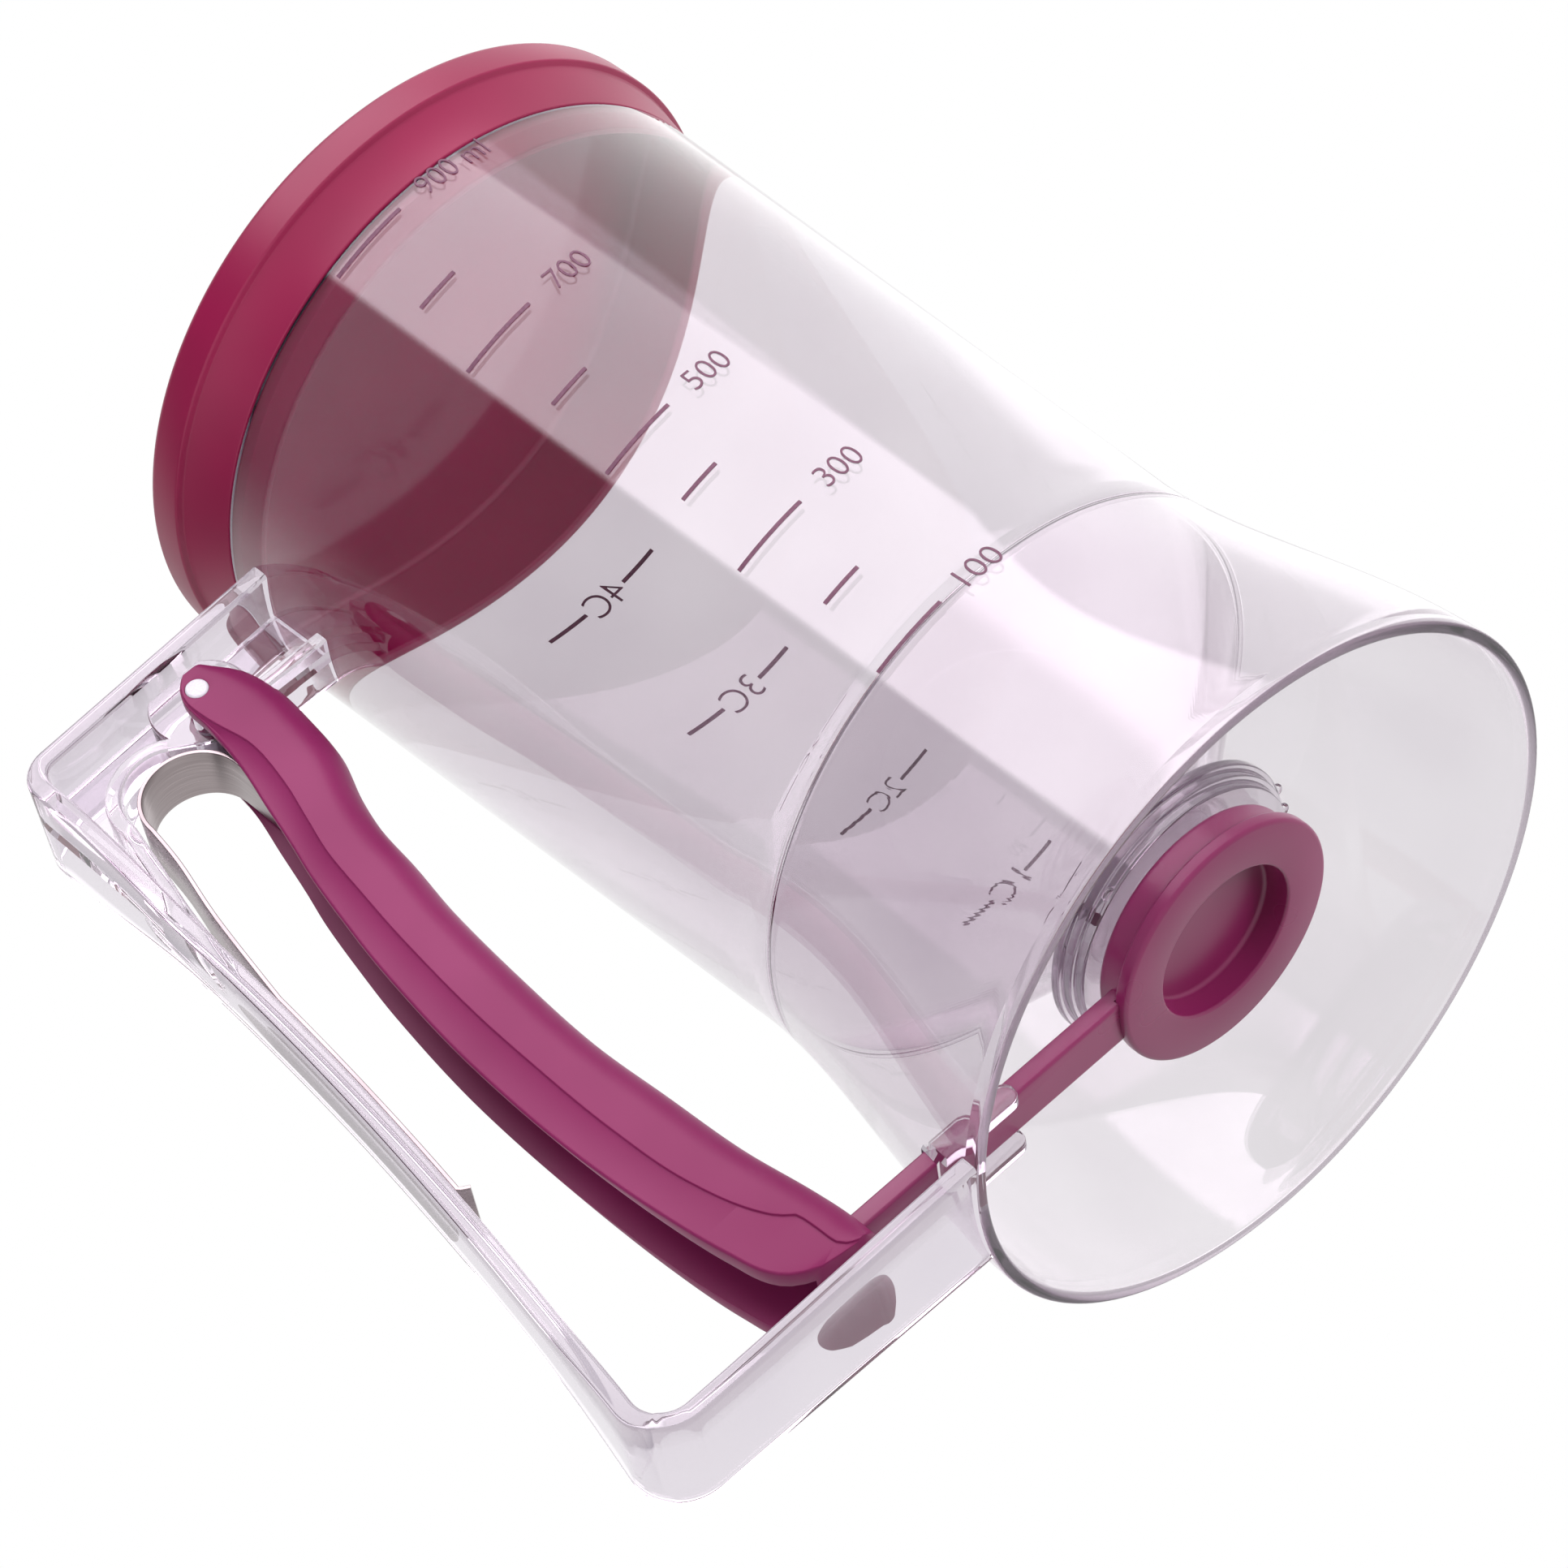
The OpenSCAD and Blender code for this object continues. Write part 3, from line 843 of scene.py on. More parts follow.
@dataclass
class Handle:
    """Clear frame round the hand, its I-shaped upper part and the lever's pin."""

    jug: Jug
    arm_z: float = 161.0
    arm_fall: float = 3.2
    corner_x: float = 99.4
    sweep: float = 16.8
    thick: float = 3.2
    top_half_w: float = 9.5
    bar_half_w: float = 5.7
    foot_half_w: float = 9.5
    root_half_w: float = 11.2
    web: float = 2.4
    flange_half_w: float = 5.0
    flange: float = 2.4
    boss_r: float = 8.2
    pivot: Point = (-70.0, 150.4)
    corner_r: float = 6.0
    foot_r: float = 8.0
    foot_lean: float = 12.0
    merge_z: float = 103.776
    under_rise: float = 5.5
    hood_r: float = 7.9
    hood_back: float = 13.6
    hood_drop: float = 9.8
    hood_turns: Point = (64, 184)
    hood_out: float = 1.9
    hood_low: float = 9.0
    bar_bow: float = 1.6
    bow_rise: float = 16.0
    pin_r: float = 1.8
    pin_half: float = 8.3

    def bar_x(self, z: float) -> float:
        """Outer face of the rear bar at a height, in mm."""
        return -self.corner_x - self.sweep * (max(0.0, self.pivot[1] - z) / self.pivot[1]) ** 2

    @property
    def root_x(self) -> float:
        """Where the arms' outlines start, inside the jug."""
        return -self.jug.waist_r + 6

    def upper_line(self) -> list[Point]:
        """Outer face from the tank over the top corner and down the rear bar."""
        tilt = math.atan(self.arm_fall / (self.corner_x - self.jug.rim_r))
        centre_x = self.corner_r - self.corner_x

        def top(x: float) -> float:
            return self.arm_z + (x + self.jug.rim_r) * math.tan(tilt)

        start = [(x, top(x)) for x in span(self.root_x, centre_x - 1, 6)]
        corner = arc(centre_x, top(centre_x) - self.corner_r, self.corner_r, 90 + math.degrees(tilt), 180, 12)
        return start[:-1] + corner + [(self.bar_x(z), z) for z in span(self.pivot[1], self.merge_z, 14)]

    def lower_line(self) -> list[Point]:
        """Outer face from the middle of the rear bar round the foot to the skirt."""
        lean = math.radians(self.foot_lean)
        bend_z = self.foot_r * (1 + math.sin(lean))
        bar = [(self.bar_x(z), z) for z in span(self.merge_z - 3, bend_z + 2, 30)]
        foot = arc(self.bar_x(bend_z) + self.foot_r * math.cos(lean), self.foot_r, self.foot_r,
                   180 - self.foot_lean, 270, 14)
        return bar + foot + [(x, 0.0) for x in span(-100, self.root_x, 8)]

    def hole_line(self) -> list[Point]:
        """Edge of the finger hole: under the top arm, round the boss, over the spring, to the bar."""
        px, pz = self.pivot
        hood_x, hood_z = px - self.hood_back, pz - self.hood_drop
        hood = arc(hood_x, hood_z, self.hood_r, *self.hood_turns, 20)
        inner = math.degrees(math.asin(self.under_rise / self.boss_r))
        bar_in = self.bar_x(self.merge_z) + self.thick
        rear = smooth_path([hood[-1], (hood_x - self.hood_r - self.hood_out, hood_z - self.hood_low),
                            (bar_in + self.bar_bow, self.merge_z + self.bow_rise),
                            (bar_in - 0.1 * self.thick, self.merge_z)], 6)
        boss = arc(px, pz, self.boss_r, -inner, -136, 14)
        return [(self.root_x, pz - self.under_rise)] + boss + hood + rear[1:]

    def half_width(self, x: float, z: float) -> float:
        """Half width of the strap at a point of its outer face, in mm."""
        if z < self.thick + 0.5:
            by_height = self.root_half_w
        else:
            by_height = (self.bar_half_w + (self.foot_half_w - self.bar_half_w) * ease((34 - z) / 30)
                         + (self.top_half_w - self.bar_half_w) * ease((z - self.pivot[1] + 34) / 32))
        run = (x - self.root_x) / (3 - self.corner_x - self.root_x)
        by_plan = mix(self.root_half_w, self.foot_half_w + 0.3, min(1.0, max(0.0, run)))
        return min(by_height, by_plan)

    def frame(self) -> Object:
        """Strap, web, flange and boss as one clear moulding, cut to the jug's wall."""
        upper, hole = self.upper_line(), self.hole_line()
        piece = strap("handle_frame_body", upper + self.lower_line(), self.thick, self.half_width, 0.7)
        middle = [tuple(Vector(p) + left_of(upper, i) * self.thick / 3) for i, p in enumerate(upper)]
        edge = [tuple(Vector(p) - left_of(hole, i) * self.flange / 2) for i, p in enumerate(hole)]
        combine(piece, across("web", middle + edge[::-1], self.web / 2), Cut.JOIN)
        rim = strap("flange", hole[::-1], self.flange, lambda x, z: self.flange_half_w, 0.5)
        combine(piece, rim, Cut.JOIN)
        boss = across("boss", circle(self.pivot, self.boss_r - 0.05, 64), self.flange_half_w, 0.4)
        combine(piece, boss, Cut.JOIN)
        combine(piece, self.jug.core(self.jug.air), Cut.REMOVE)
        bore = across("bore", circle(self.pivot, self.pin_r + self.jug.air), THROUGH)
        return combine(piece, bore, Cut.REMOVE)

    def pin(self) -> Object:
        """The pivot pin, with rounded ends."""
        return across("pivot_pin_body", circle(self.pivot, self.pin_r), self.pin_half, 0.4)

    def build(self, clear: Material, milky: Material) -> None:
        """Makes and dresses the frame and the pin."""
        dress(self.frame(), clear, Body.CONTAINER, "clear_plastic", "handle_frame")
        dress(self.pin(), milky, Body.CONTAINER, "pin_plastic", "pivot_pin")


# ---------------------------------------------------------------- the lever


@dataclass
class SqueezeLever:
    """Magenta channel open to the rear, hung on the pin by two ears, with a thin lip along its edges."""

    handle: Handle
    tip_z: float = 5.0
    half_w: float = 8.0
    tip_half_w: float = 9.0
    wall: float = 2.4
    front_r: float = 5.8
    lip_inset: float = 0.4
    lip_taper: float = 1.4
    tip_share: float = 0.35
    ear_share: float = 0.12
    inside_w: float = 5.6
    ear_drop: float = 7.0
    ear_rise: float = 3.6
    floor: float = 1.4
    bore: float = 1.85
    slot_back: float = 6.4
    slot_front: float = 5.6
    slot_drop: float = 1.6
    # Share of the way from tip to pivot, then front edge, rear edge and lip width, in mm.
    form: tuple[tuple[float, float, float, float], ...] = (
        (0.0, -1.2, -3.5, 1.0), (0.006, 0.6, -9.0, 6.0), (0.031, 1.1, -13.9, 13.0),
        (0.083, 0.5, -16.0, 8.2), (0.172, -1.2, -17.5, 5.9), (0.275, -1.9, -18.2, 5.6),
        (0.378, -2.6, -18.1, 5.6), (0.481, -1.9, -17.2, 5.3), (0.598, -0.4, -15.0, 4.8),
        (0.674, 1.4, -12.9, 4.3), (0.736, 2.6, -10.9, 3.8), (0.784, 4.5, -8.9, 3.8),
        (0.839, 7.6, -6.8, 4.0), (0.901, 9.1, -4.4, 3.0), (0.956, 9.7, -3.3, 0.8),
        (0.994, 8.5, -3.0, 0.3), (1.014, 6.0, -1.8, 0.3), (1.028, 3.6, 0.4, 0.3))

    def read(self, share: float, column: int) -> float:
        """Reads a column of the form on a smooth curve through its rows.

        Args:
            share: 0 at the tip, 1 at the pivot.
            column: 1 front, 2 rear, 3 lip.

        Returns:
            The value in mm.
        """
        rows = self.form
        i = max([k for k in range(len(rows) - 1) if rows[k][0] <= share] or [0])
        low, high = rows[i], rows[i + 1]
        step = high[0] - low[0]
        u = (share - low[0]) / step

        def slope(k: int) -> float:
            before, after = rows[max(k - 1, 0)], rows[min(k + 1, len(rows) - 1)]
            return (after[column] - before[column]) / (after[0] - before[0])

        return (mix(low[column], high[column], ease(u))
                + step * u * (1 - u) * ((1 - u) * slope(i) - u * slope(i + 1)))

    def level(self, share: float) -> float:
        """Height in mm at a share of the lever."""
        return self.tip_z + share * (self.handle.pivot[1] - self.tip_z)

    def half_section(self, share: float) -> list[Point]:
        """Half a level cut of the lever's outside, from its rear edge round to its front.

        Args:
            share: 0 at the tip, 1 at the pivot.

        Returns:
            Points of x and y in mm.
        """
        px = self.handle.pivot[0]
        front, rear = px + self.read(share, 1), px + self.read(share, 2)
        width = mix(self.tip_half_w, self.half_w, ease(share / self.tip_share))
        radius = min(self.front_r, (front - rear) * 0.45)
        lip = min(rear + self.read(share, 3), front - radius - 0.5)
        inset = width - self.lip_inset
        edge = min(0.5, (lip - rear) * 0.4)
        narrow = inset - self.lip_taper * ease(share / self.tip_share) * ease((1 - share) / self.ear_share)
        rear_edge = arc(rear + edge, narrow - edge, edge, 180, 90, 4)
        step = [(lip - 0.12, inset), (lip - 0.03, inset + 0.06),
                (lip + 0.03, width - 0.06), (lip + 0.12, width)]
        return rear_edge + step + arc(front - radius, width - radius, radius, 90, 0, 10)

    def outside(self) -> Object:
        """The lever's outer form as a closed solid."""
        shares = []
        for low, high in zip(self.form, self.form[1:]):
            steps = max(2, round((high[0] - low[0]) * 120))
            shares += span(low[0], high[0], steps)[:-1]
        rings = []
        for share in shares + [self.form[-1][0]]:
            half = self.half_section(share)
            ring = half + [(x, -y) for x, y in half[::-1]]
            rings.append([Vector((x, y, self.level(share))) for x, y in ring])
        return bridge("squeeze_lever_body", rings)

    def channel(self) -> Object:
        """The hollow: open to the rear, and to the front too between the ears."""
        px, pz = self.handle.pivot
        low, ear = self.tip_z + self.floor, pz - self.ear_drop
        shares = [s for s in span(0.01, 0.96, 90) if low + 0.6 < self.level(s) < ear - 0.6]
        inner = [(px + self.read(s, 1) - self.wall, self.level(s)) for s in shares]
        rear = px - 30
        outline = ([(rear, low), (inner[0][0], low)] + inner
                   + [(inner[-1][0], ear), (px + 20, ear), (px + 20, pz + 10), (rear, pz + 10)])
        return across("channel", outline, self.inside_w)

    def build(self, magenta: Material) -> None:
        """Makes and dresses the lever."""
        px, pz = self.handle.pivot
        jug = self.handle.jug
        lever = combine(self.outside(), self.channel(), Cut.REMOVE)
        slot = rectangle(px - self.slot_back, jug.slot_low - self.slot_drop,
                         px + self.slot_front, jug.slot_high)
        top = rectangle(px - 15, pz + self.ear_rise, px + 15, pz + 30)
        bore = circle((px, pz), self.bore)
        for name, outline, half in (("slot", slot, jug.slot_half_w), ("bore", bore, THROUGH),
                                    ("top", top, THROUGH)):
            combine(lever, across(name, outline, half), Cut.REMOVE)
        round_edges(lever, 0.25, 2)
        dress(lever, magenta, Body.LEVER, "magenta_plastic", "lever")


# ---------------------------------------------------------------- the spring


@dataclass
class ReturnSpring:
    """Bent stainless strip: a long leg up the rear bar, a round bend, a short leg in the lever."""

    handle: Handle
    lever: SqueezeLever
    thick: float = 0.7
    half_w: float = 4.8
    bend_r: float = 8.6
    bend_back: float = 12.0
    bend_drop: float = 12.8
    leg: float = 82.0
    # How far out and how far down: the hooked end from the leg's end, the bow from the bend.
    hook: tuple[Point, Point] = ((1.6, 1.44), (0.48, 0.64))
    bow: tuple[Point, Point] = ((4.2, 20.0), (1.3, 8.0))
    fall: float = 20.0
    end_share: float = 0.64
    rest: float = 0.1

    def line(self) -> list[Point]:
        """The strip's outer face from its hooked end on the bar to its end in the lever."""
        bx, bz = self.handle.pivot[0] - self.bend_back, self.handle.pivot[1] - self.bend_drop
        low = bz - self.leg
        gap = self.handle.thick + self.rest
        merge = self.handle.merge_z - 4
        bar = [(self.handle.bar_x(z) + gap, z) for z in span(low, merge, 24)]
        hook = [(bar[0][0] + out, low - under) for out, under in self.hook]
        side = bx - self.bend_r
        bow = [(side - out, bz - under) for out, under in self.bow]
        rise = smooth_path(bar[-2:] + bow + [(side, bz)], 8)[9:-1]
        end = (self.handle.pivot[0] + self.lever.read(self.end_share, 1) - self.lever.wall - self.rest,
               self.lever.level(self.end_share))
        bend = arc(bx, bz, self.bend_r, 180, 0, 40)
        fall = smooth_path(bend[-2:] + [(bx + self.bend_r, bz - self.fall), end], 8)[9:]
        return hook + bar + rise + bend + fall

    def build(self, steel: Material) -> None:
        """Makes the strip in place and gives it its material."""
        piece = strap("return_spring_strip", self.line()[::-1], self.thick, lambda x, z: self.half_w, 0.15)
        piece.data.materials.append(steel)
        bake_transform(piece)
        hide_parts("return_spring")
        report(piece)


# ---------------------------------------------------------------- the valve


@dataclass
class Valve:
    """Magenta cap with its pull arm, and the soft seal on top of the cap."""

    handle: Handle
    cap_r: float = 18.7
    flange_r: float = 20.0
    low: float = 7.5
    flange: float = 2.4
    recess_r: float = 12.4
    recess: float = 4.6
    top: float = 14.5
    seal_r: float = 13.5
    seal: float = 0.8
    arm_w: float = 8.0
    arm: float = 3.0
    arm_z: float = 8.8
    head_half_w: float = 5.3
    head: float = 3.0
    nub_r: float = 1.6
    nub: float = 1.4
    nub_in: float = 5.0
    edge: float = 0.45

    def cap(self) -> Object:
        """The turned cap with its flange and the recess underneath."""
        low, roof = self.low, self.low + self.recess
        corners = [(0, roof, 0), (self.recess_r, roof, 0.8), (self.recess_r, low, 0.5),
                   (self.flange_r, low, 0.7), (self.flange_r, low + self.flange, 0.5),
                   (self.cap_r, low + self.flange, 0.3),
                   (self.cap_r, self.top, 1.0), (0, self.top, 0)]
        return lathe("valve_cap_body", rounded(corners))

    def pull_arm(self) -> Object:
        """Flat arm from the cap, with a round nub and the head that the lever catches."""
        px = self.handle.pivot[0]
        head_x, high = px - self.head, self.arm_z + self.arm
        arm = across("pull_arm_body", rectangle(head_x, self.arm_z, -10, high), self.arm_w / 2, self.edge)
        outline = rectangle(head_x - self.head, self.arm_z, head_x, high)
        combine(arm, across("head", outline, self.head_half_w, self.edge), Cut.JOIN)
        nub = disc("nub", self.nub_r, (0, self.arm + self.nub), (0, 0.6), 48)
        nub.data.transform(Matrix.Translation(Vector((px + self.nub_in, 0, self.arm_z)) * MM))
        combine(arm, nub, Cut.JOIN)
        # The cap's own form, a hair larger, is taken off, so that the arm meets the cap without overlap.
        reach, step_z, above = self.flange_r + 0.02, self.low + self.flange, self.top + 5.5
        cap = lathe("cap_form", [(0, 0), (reach, 0), (reach, step_z), (self.cap_r, step_z + 0.05),
                                 (self.cap_r, above), (0, above)])
        return combine(arm, cap, Cut.REMOVE)

    def build(self, magenta: Material, silicone: Material) -> None:
        """Makes and dresses the valve's three pieces."""
        for make, node in ((self.cap, "valve_cap"), (self.pull_arm, "pull_arm")):
            dress(make(), magenta, Body.VALVE, "magenta_plastic", node)
        seal = disc("valve_seal_disc", self.seal_r, (self.top, self.top + self.seal), (0.2, 0.3))
        dress(seal, silicone, Body.VALVE, "soft_seal", "valve_seal")


# ---------------------------------------------------------------- the lid


@dataclass
class Lid:
    """One magenta moulding: flare on the rim, lip band, sunk panel and the plug inside the tank."""

    jug: Jug
    height: float = 15.4
    lip_out: float = 2.8
    lip_h: float = 6.4
    plug: float = 5.2
    taper: float = 1.6
    wall: float = 1.9
    panel: float = 5.8
    plug_gap: float = 0.3

    def build(self, magenta: Material) -> None:
        """Makes and dresses the lid."""
        rim, top = self.jug.rim_z, self.jug.rim_z + self.height
        lip = self.jug.rim_r + self.lip_out
        panel = top - self.panel
        bore = self.jug.rim_r - self.jug.wall - self.plug_gap
        plug = bore - self.taper
        corners = [(self.jug.rim_r, rim + 0.05, 0.3), (lip - 1.1, top - self.lip_h - 0.6, 0),
                   (lip - 0.9, top - self.lip_h - 0.35, 0.1), (lip, top - self.lip_h, 0.5),
                   (lip, top, 1.4), (lip - 2.6, top, 0.9), (lip - 3.4, panel, 1.6), (0, panel, 0),
                   (0, panel - self.wall, 0), (plug - self.wall, panel - self.wall, 1.0),
                   (plug - self.wall, rim - self.plug, 0.5), (plug, rim - self.plug, 0.6),
                   (bore, rim - 2, 0.5), (bore, rim + 0.05, 0)]
        dress(lathe("lid_body", rounded(corners, 5)), magenta, Body.COVER, "magenta_plastic", "lid")


# ---------------------------------------------------------------- the printed scales


@dataclass
class PrintedScale:
    """Millilitre marks on the tank's front and cup marks on its back, as a thin printed film."""

    jug: Jug
    film: float = 0.12
    lift: float = 0.02
    stroke: float = 0.65
    thinner: float = 0.014
    ml_heights: tuple[float, ...] = (50.2, 64.1, 78.4, 93.0, 105.8, 120.4, 135.5, 149.0, 164.1)
    ml_long: Point = (-24.0, -8.4)
    ml_short: Point = (-20.0, -11.7)
    ml_words: float = -3.4
    words_rise: float = 0.4
    cup_heights: tuple[float, ...] = (67.7, 97.8, 125.3, 151.9)
    cup_marks: tuple[Point, Point] = ((-21.6, -13.8), (-5.0, 3.2))
    cup_words: float = -13.0
    ml_text: Point = (3.9, 7.2)
    last_text: Point = (3.9, 12.4)
    cup_text: Point = (4.4, 6.2)
    pieces: list[Object] = field(default_factory=list)

    def bar(self, turns: Point, height: float, front: bool) -> None:
        """Prints one level mark between two turns in degrees, at a height in mm."""
        low, high = height - self.stroke / 2, height + self.stroke / 2
        rows = ((low, 0), (high, 0), (high, self.film), (low, self.film))
        left, right = (math.radians(turn) * self.jug.wall_r(height) for turn in turns)
        rings = [[(way, y, z) for y, z in rows] for way in span(left, right, 12)]
        self.keep(skin(rings), "scale_mark", front)

    def keep(self, work: BMesh, name: str, front: bool) -> None:
        """Bends a flat print round the tank and stores it among the pieces.

        Args:
            work: bmesh with x as the way round and y as the height, both in mm, and z as its film.
            name: the print's name.
            front: True for the -Y side, False for the +Y side.
        """
        bmesh.ops.recalc_face_normals(work, faces=work.faces)
        piece = link_mesh(name, work)
        side = 1 if front else -1
        for vertex in piece.data.vertices:
            way, height, film = vertex.co
            radius = self.jug.wall_r(height) + self.lift + film
            angle = way / self.jug.wall_r(height)
            place = (side * radius * math.sin(angle), -side * radius * math.cos(angle), height)
            vertex.co = Vector(place) * MM
        self.pieces.append(piece)

    def words(self, text: str, size: Point, turn: float, height: float, front: bool) -> None:
        """Prints a number.

        Args:
            text: what it says.
            size: height and width of the words in mm.
            turn: where it starts, in degrees round the tank.
            height: middle of its height in mm.
            front: which side it is on.
        """
        curve = bpy.data.curves.new("scale_text", "FONT")
        curve.body = text
        curve.extrude = self.film / 2
        curve.offset = -self.thinner
        curve.resolution_u = 6
        source = linked("scale_text", curve)
        bpy.context.view_layer.update()
        mesh = bpy.data.meshes.new_from_object(source.evaluated_get(bpy.context.evaluated_depsgraph_get()))
        bpy.data.objects.remove(source, do_unlink=True)
        work = bmesh.new()
        work.from_mesh(mesh)
        bmesh.ops.remove_doubles(work, verts=work.verts, dist=1e-4)
        start = min(v.co.x for v in work.verts)
        wide = max(v.co.x for v in work.verts) - start
        low, high = min(v.co.y for v in work.verts), max(v.co.y for v in work.verts)
        scale = (size[1] / wide, size[0] / (high - low), 1)
        bmesh.ops.translate(work, vec=(-start, -(low + high) / 2, self.film / 2), verts=work.verts)
        bmesh.ops.scale(work, vec=scale, verts=work.verts)
        left = math.radians(turn) * self.jug.wall_r(height)
        bmesh.ops.translate(work, vec=(left, height + self.words_rise * front, 0), verts=work.verts)
        self.keep(work, "scale_number", front)

    def build(self, ink: Material) -> None:
        """Prints both scales and joins each to one film."""
        last = len(self.ml_heights)
        for number, height in enumerate(self.ml_heights, start=1):
            numbered = number % 2 == 1
            self.bar(self.ml_long if numbered else self.ml_short, height, True)
            if number == last:
                self.words(f"{number}00 ml", self.last_text, self.ml_words, height, True)
            elif numbered:
                self.words(f"{number}00", self.ml_text, self.ml_words, height, True)
        self.join(ink, "scale_millilitres")
        for cups, height in enumerate(self.cup_heights, start=1):
            for turns in self.cup_marks:
                self.bar(turns, height, False)
            self.words(f"{cups}C", self.cup_text, self.cup_words, height, False)
        self.join(ink, "scale_cups")

    def join(self, ink: Material, name: str) -> None:
        """Joins the prints made so far into one piece that rides on the container."""
        work = bmesh.new()
        for piece in self.pieces:
            work.from_mesh(piece.data)
            bpy.data.objects.remove(piece, do_unlink=True)
        self.pieces.clear()
        film = link_mesh(name, work)
        shade(film)
        dress(film, ink, Body.CONTAINER, "clear_plastic")


# ---------------------------------------------------------------- the studio


@dataclass
class Studio:
    """White sweep, soft lamps and the camera; light panels are boxes of turn in radians and of height."""

    camera_place: Triple = (-0.33915, -0.70353, -0.40219)
    look: Triple = (0.349721, 0.774813, 0.526650)
    up: Triple = (0.597746, -0.617398, 0.511390)
    lens: float = 144.0
    floor_size: float = 6.0
    floor_z_mm: float = -0.3
    grain_mm: float = 3.0
    counter_glow: float = 0.42
    backdrop_light: float = 0.94
    room_to: float = 0.15
    white_from: float = 0.6
    room: str = "3a383c"
    room_mean: str = "cac8ce"
    turned: float = 2.5
    world_light: float = 0.42
    box_turn: Point = (-1.985, -0.777)
    box_rise: Point = (0.1, 0.9)
    box_light: float = 4.0
    box_colour: str = "fdf5fc"
    side_turn: Point = (-0.777, 0.9)
    side_rise: Point = (-0.5, 0.9)
    side_light: float = 1.5
    panel_soft: float = 0.04
    lamp_target: Triple = (-0.02, 0, 0.09)

    def camera(self) -> None:
        """A long lens below the counter's level, rolled so that the jug lies across the frame."""
        data = bpy.data.cameras.new("camera")
        data.lens, data.sensor_width = self.lens, 36.0
        data.clip_start, data.clip_end = 0.05, 50
        camera = linked("camera", data)
        back, up = -Vector(self.look), Vector(self.up)
        turn = Matrix((up.cross(back), up, back)).transposed().to_4x4()
        camera.matrix_world = Matrix.Translation(self.camera_place) @ turn
        bpy.context.scene.camera = camera

    def floor(self) -> None:
        """White counter, seen from above only: from below it lets the camera and the light through."""
        material, tree = new_material("white_counter")
        # Coated board has a grain of about 3 mm that hardly shows.
        grain = noise(tree, object_space(tree), self.grain_mm)
        white = ramp(tree, grain, ((0.3, srgb("f6f6f6")), (0.7, srgb("f9f9f9"))))
        paper = add_node(tree, "BsdfDiffuse", {"Color": white})
        see = add_node(tree, "BsdfTransparent")
        path = add_node(tree, "LightPath").outputs
        below = add_node(tree, "NewGeometry").outputs["Backfacing"]
        either = calc(tree, "MAXIMUM", below, path["Is Shadow Ray"])
        # Gloss and clear plastic show it as the plain white backdrop; only a direct look has the shadow.
        shown = add_node(tree, "Emission", {"Color": white}, Strength=1.0)
        clear = calc(tree, "MAXIMUM", path["Is Glossy Ray"], path["Is Transmission Ray"])
        direct = calc(tree, "MULTIPLY", path["Is Camera Ray"], self.counter_glow)
        glow = add_node(tree, "Emission", {"Color": white, "Strength": direct})
        looked = add_node(tree, "AddShader", {0: paper.outputs[0], 1: glow.outputs[0]})
        surface = mixed(tree, either, mixed(tree, clear, looked, shown), see)
        add_node(tree, "OutputMaterial", {"Surface": surface.outputs[0]})
        work = bmesh.new()
        half = self.floor_size / 2 / MM
        corners = rectangle(-half, -half, half, half)
        work.faces.new([work.verts.new((x, y, self.floor_z_mm)) for x, y in corners])
        floor = make_piece("counter", work)
        if floor.data.polygons[0].normal.z < 0:
            floor.data.flip_normals()
        floor.data.materials.append(material)
        report(floor)

    def panel(self, tree: NodeTree, place: NodeSocket, turn: Point, rise: Point) -> NodeSocket:
        """How far a direction lies inside an upright light panel, 0 to 1 with soft sides.

        Args:
            tree: the world's node tree.
            place: the direction as a unit vector.
            turn: its sides as angles round +Z from +X, in radians.
            rise: its lower and upper edge as the direction's Z.

        Returns:
            The value output.
        """
        axes = add_node(tree, "SeparateXYZ", {"Vector": place}).outputs
        angle = calc(tree, "ARCTAN2", axes["Y"], axes["X"])
        inside = None
        for value, edges in ((angle, turn), (axes["Z"], rise)):
            for edge, soft in zip(edges, (self.panel_soft, -self.panel_soft)):
                side = add_node(tree, "MapRange", {"Value": value}, interpolation_type="SMOOTHSTEP",
                                From_Min=edge - soft, From_Max=edge + soft).outputs["Result"]
                inside = calc(tree, "MULTIPLY", side, inside or side)
        return inside

    def world(self) -> None:
        """White behind the part, and in gloss and clear plastic also a dim room with two light panels."""
        world = bpy.data.worlds.new("studio")
        bpy.context.scene.world = world
        world.use_nodes = True
        tree = world.node_tree
        tree.nodes.clear()
        path = add_node(tree, "LightPath").outputs
        place = add_node(tree, "TexCoord").outputs["Generated"]
        toward = add_node(tree, "VectorMath", {0: place}, operation="DOT_PRODUCT")
        toward.inputs[1].default_value = self.look
        behind = add_node(tree, "MapRange", {"Value": toward.outputs["Value"]},
                          interpolation_type="SMOOTHSTEP", From_Min=self.room_to, From_Max=self.white_from)
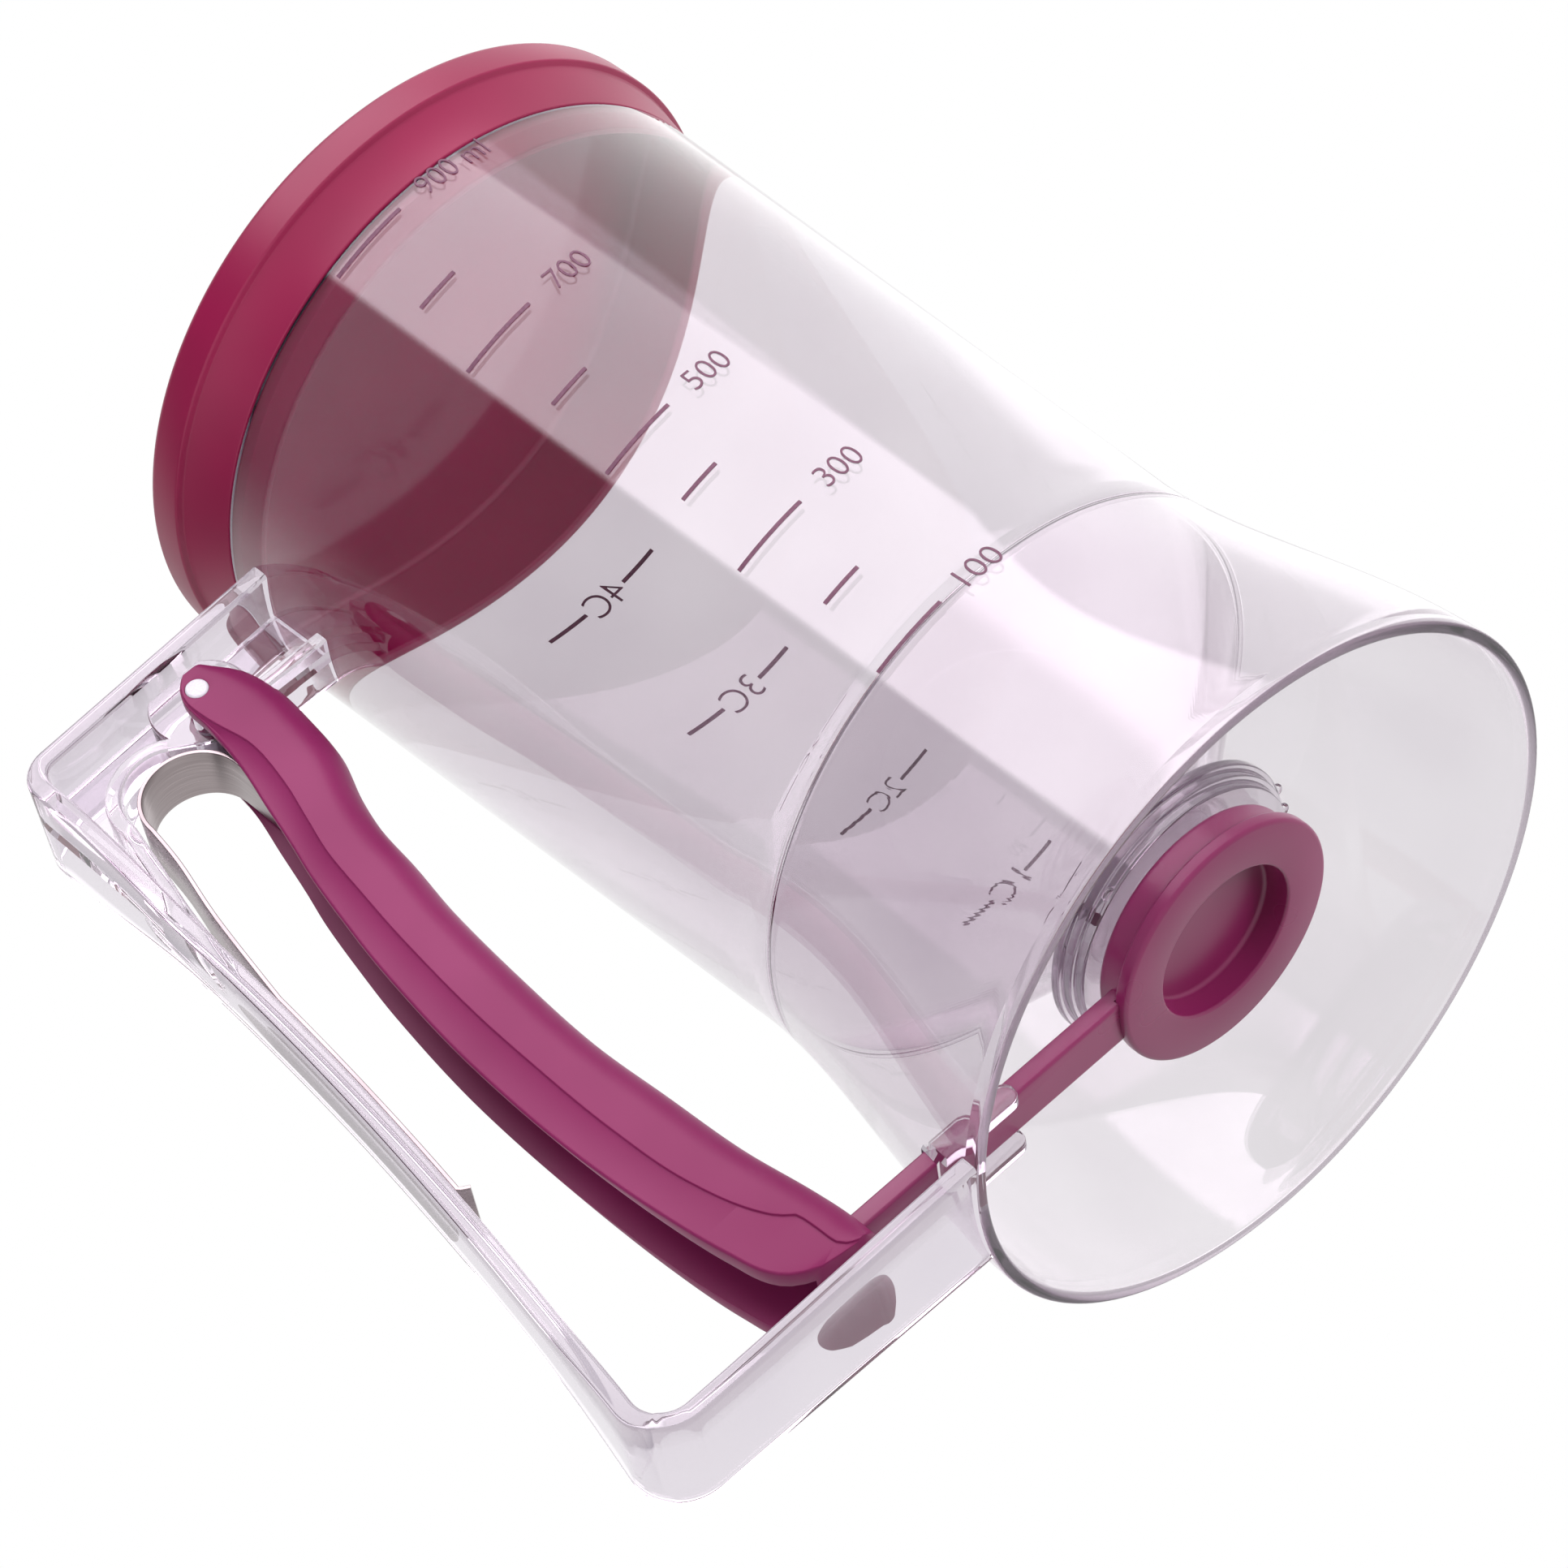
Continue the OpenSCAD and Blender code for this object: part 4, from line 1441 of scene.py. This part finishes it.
        # A ray that a rim has bent or turned round gets the room's mean, so that clear edges stay grey.
        turned = calc(tree, "GREATER_THAN", path["Ray Depth"], self.turned)
        bent = calc(tree, "MAXIMUM", turned, path["Is Transmission Ray"])
        room = ramp(tree, bent, ((0.0, srgb(self.room)), (1.0, srgb(self.room_mean))))
        seen = add_node(tree, "Background", {"Color": room}, Strength=1.0)
        sides = self.panel(tree, place, self.side_turn, self.side_rise)
        box = self.panel(tree, place, self.box_turn, self.box_rise)
        panels = ((behind.outputs["Result"], "ffffff", self.backdrop_light),
                  (sides, "ffffff", self.side_light), (box, self.box_colour, self.box_light))
        for share, colour, light in panels:
            lit = add_node(tree, "Background", Color=srgb(colour), Strength=light)
            seen = mixed(tree, share, seen, lit)
        plain, shown = (add_node(tree, "Background", Color=srgb("ffffff"), Strength=light)
                        for light in (self.world_light, 1.0))
        clear = calc(tree, "MAXIMUM", path["Is Glossy Ray"], path["Is Transmission Ray"])
        # What matt surfaces scatter is lit by the plain world, so the panels don't light them twice.
        matt = calc(tree, "LESS_THAN", path["Diffuse Depth"], 0.5)
        first = mixed(tree, calc(tree, "MULTIPLY", clear, matt), plain, seen)
        last = mixed(tree, path["Is Camera Ray"], first, shown)
        add_node(tree, "OutputWorld", {"Surface": last.outputs[0]})

    def lamp(self, name: str, place: Sequence[float], size: tuple[float, float], watts: float) -> None:
        """Adds a rectangular softbox aimed at the jug.

        Args:
            name: the lamp's name.
            place: where it stands, in metres.
            size: width and height in metres.
            watts: its power.
        """
        data = bpy.data.lights.new(name, "AREA")
        data.shape = "RECTANGLE"
        data.size, data.size_y = size
        data.energy = watts
        lamp = linked(name, data)
        lamp.visible_glossy = lamp.visible_transmission = False
        lamp.location = place
        lamp.rotation_euler = (Vector(self.lamp_target) - Vector(place)).to_track_quat("-Z", "Y").to_euler()

    def build(self) -> None:
        """Sets the whole studio up."""
        self.camera()
        self.floor()
        self.world()
        self.lamp("key_softbox", (0.19, -0.98, 0.72), (1.4, 0.7), 8.0)
        self.lamp("fill_softbox", (-1.2, -0.5, 0.2), (0.5, 0.8), 4.0)
        self.lamp("under_softbox", (0.5, -0.7, -0.6), (0.6, 0.6), 8.0)
        self.lamp("back_softbox", (0.5, 1.1, 0.7), (0.8, 0.8), 6.0)
        bpy.context.scene.view_settings.view_transform = "Standard"


def main() -> None:
    """Builds every sub-assembly, dresses it and sets the studio up."""
    clear = ClearStyrene().material()
    magenta = MouldedMagenta().material()
    jug = Jug()
    jug.build(clear)
    handle = Handle(jug)
    hazier = ClearStyrene("clear_moulded_styrene_frame", "f0eaf1", "eae3ec", absorption=80.0, deep=3.5)
    handle.build(hazier.material(), MilkyAcetal().material())
    lever = SqueezeLever(handle)
    lever.build(magenta)
    ReturnSpring(handle, lever).build(StainlessStrip().material())
    smooth = MouldedMagenta("magenta_smooth_plastic", specular=0.5, roughness=0.3)
    Valve(handle).build(smooth.material(), SoftSilicone().material())
    polished = MouldedMagenta("magenta_polished_plastic", "8c0c42", "810a3c", specular=0.5, polished_r=46.0)
    Lid(jug).build(polished.material())
    PrintedScale(jug).build(ScreenInk().material())
    Studio().build()


if __name__ == "__main__":
    main()
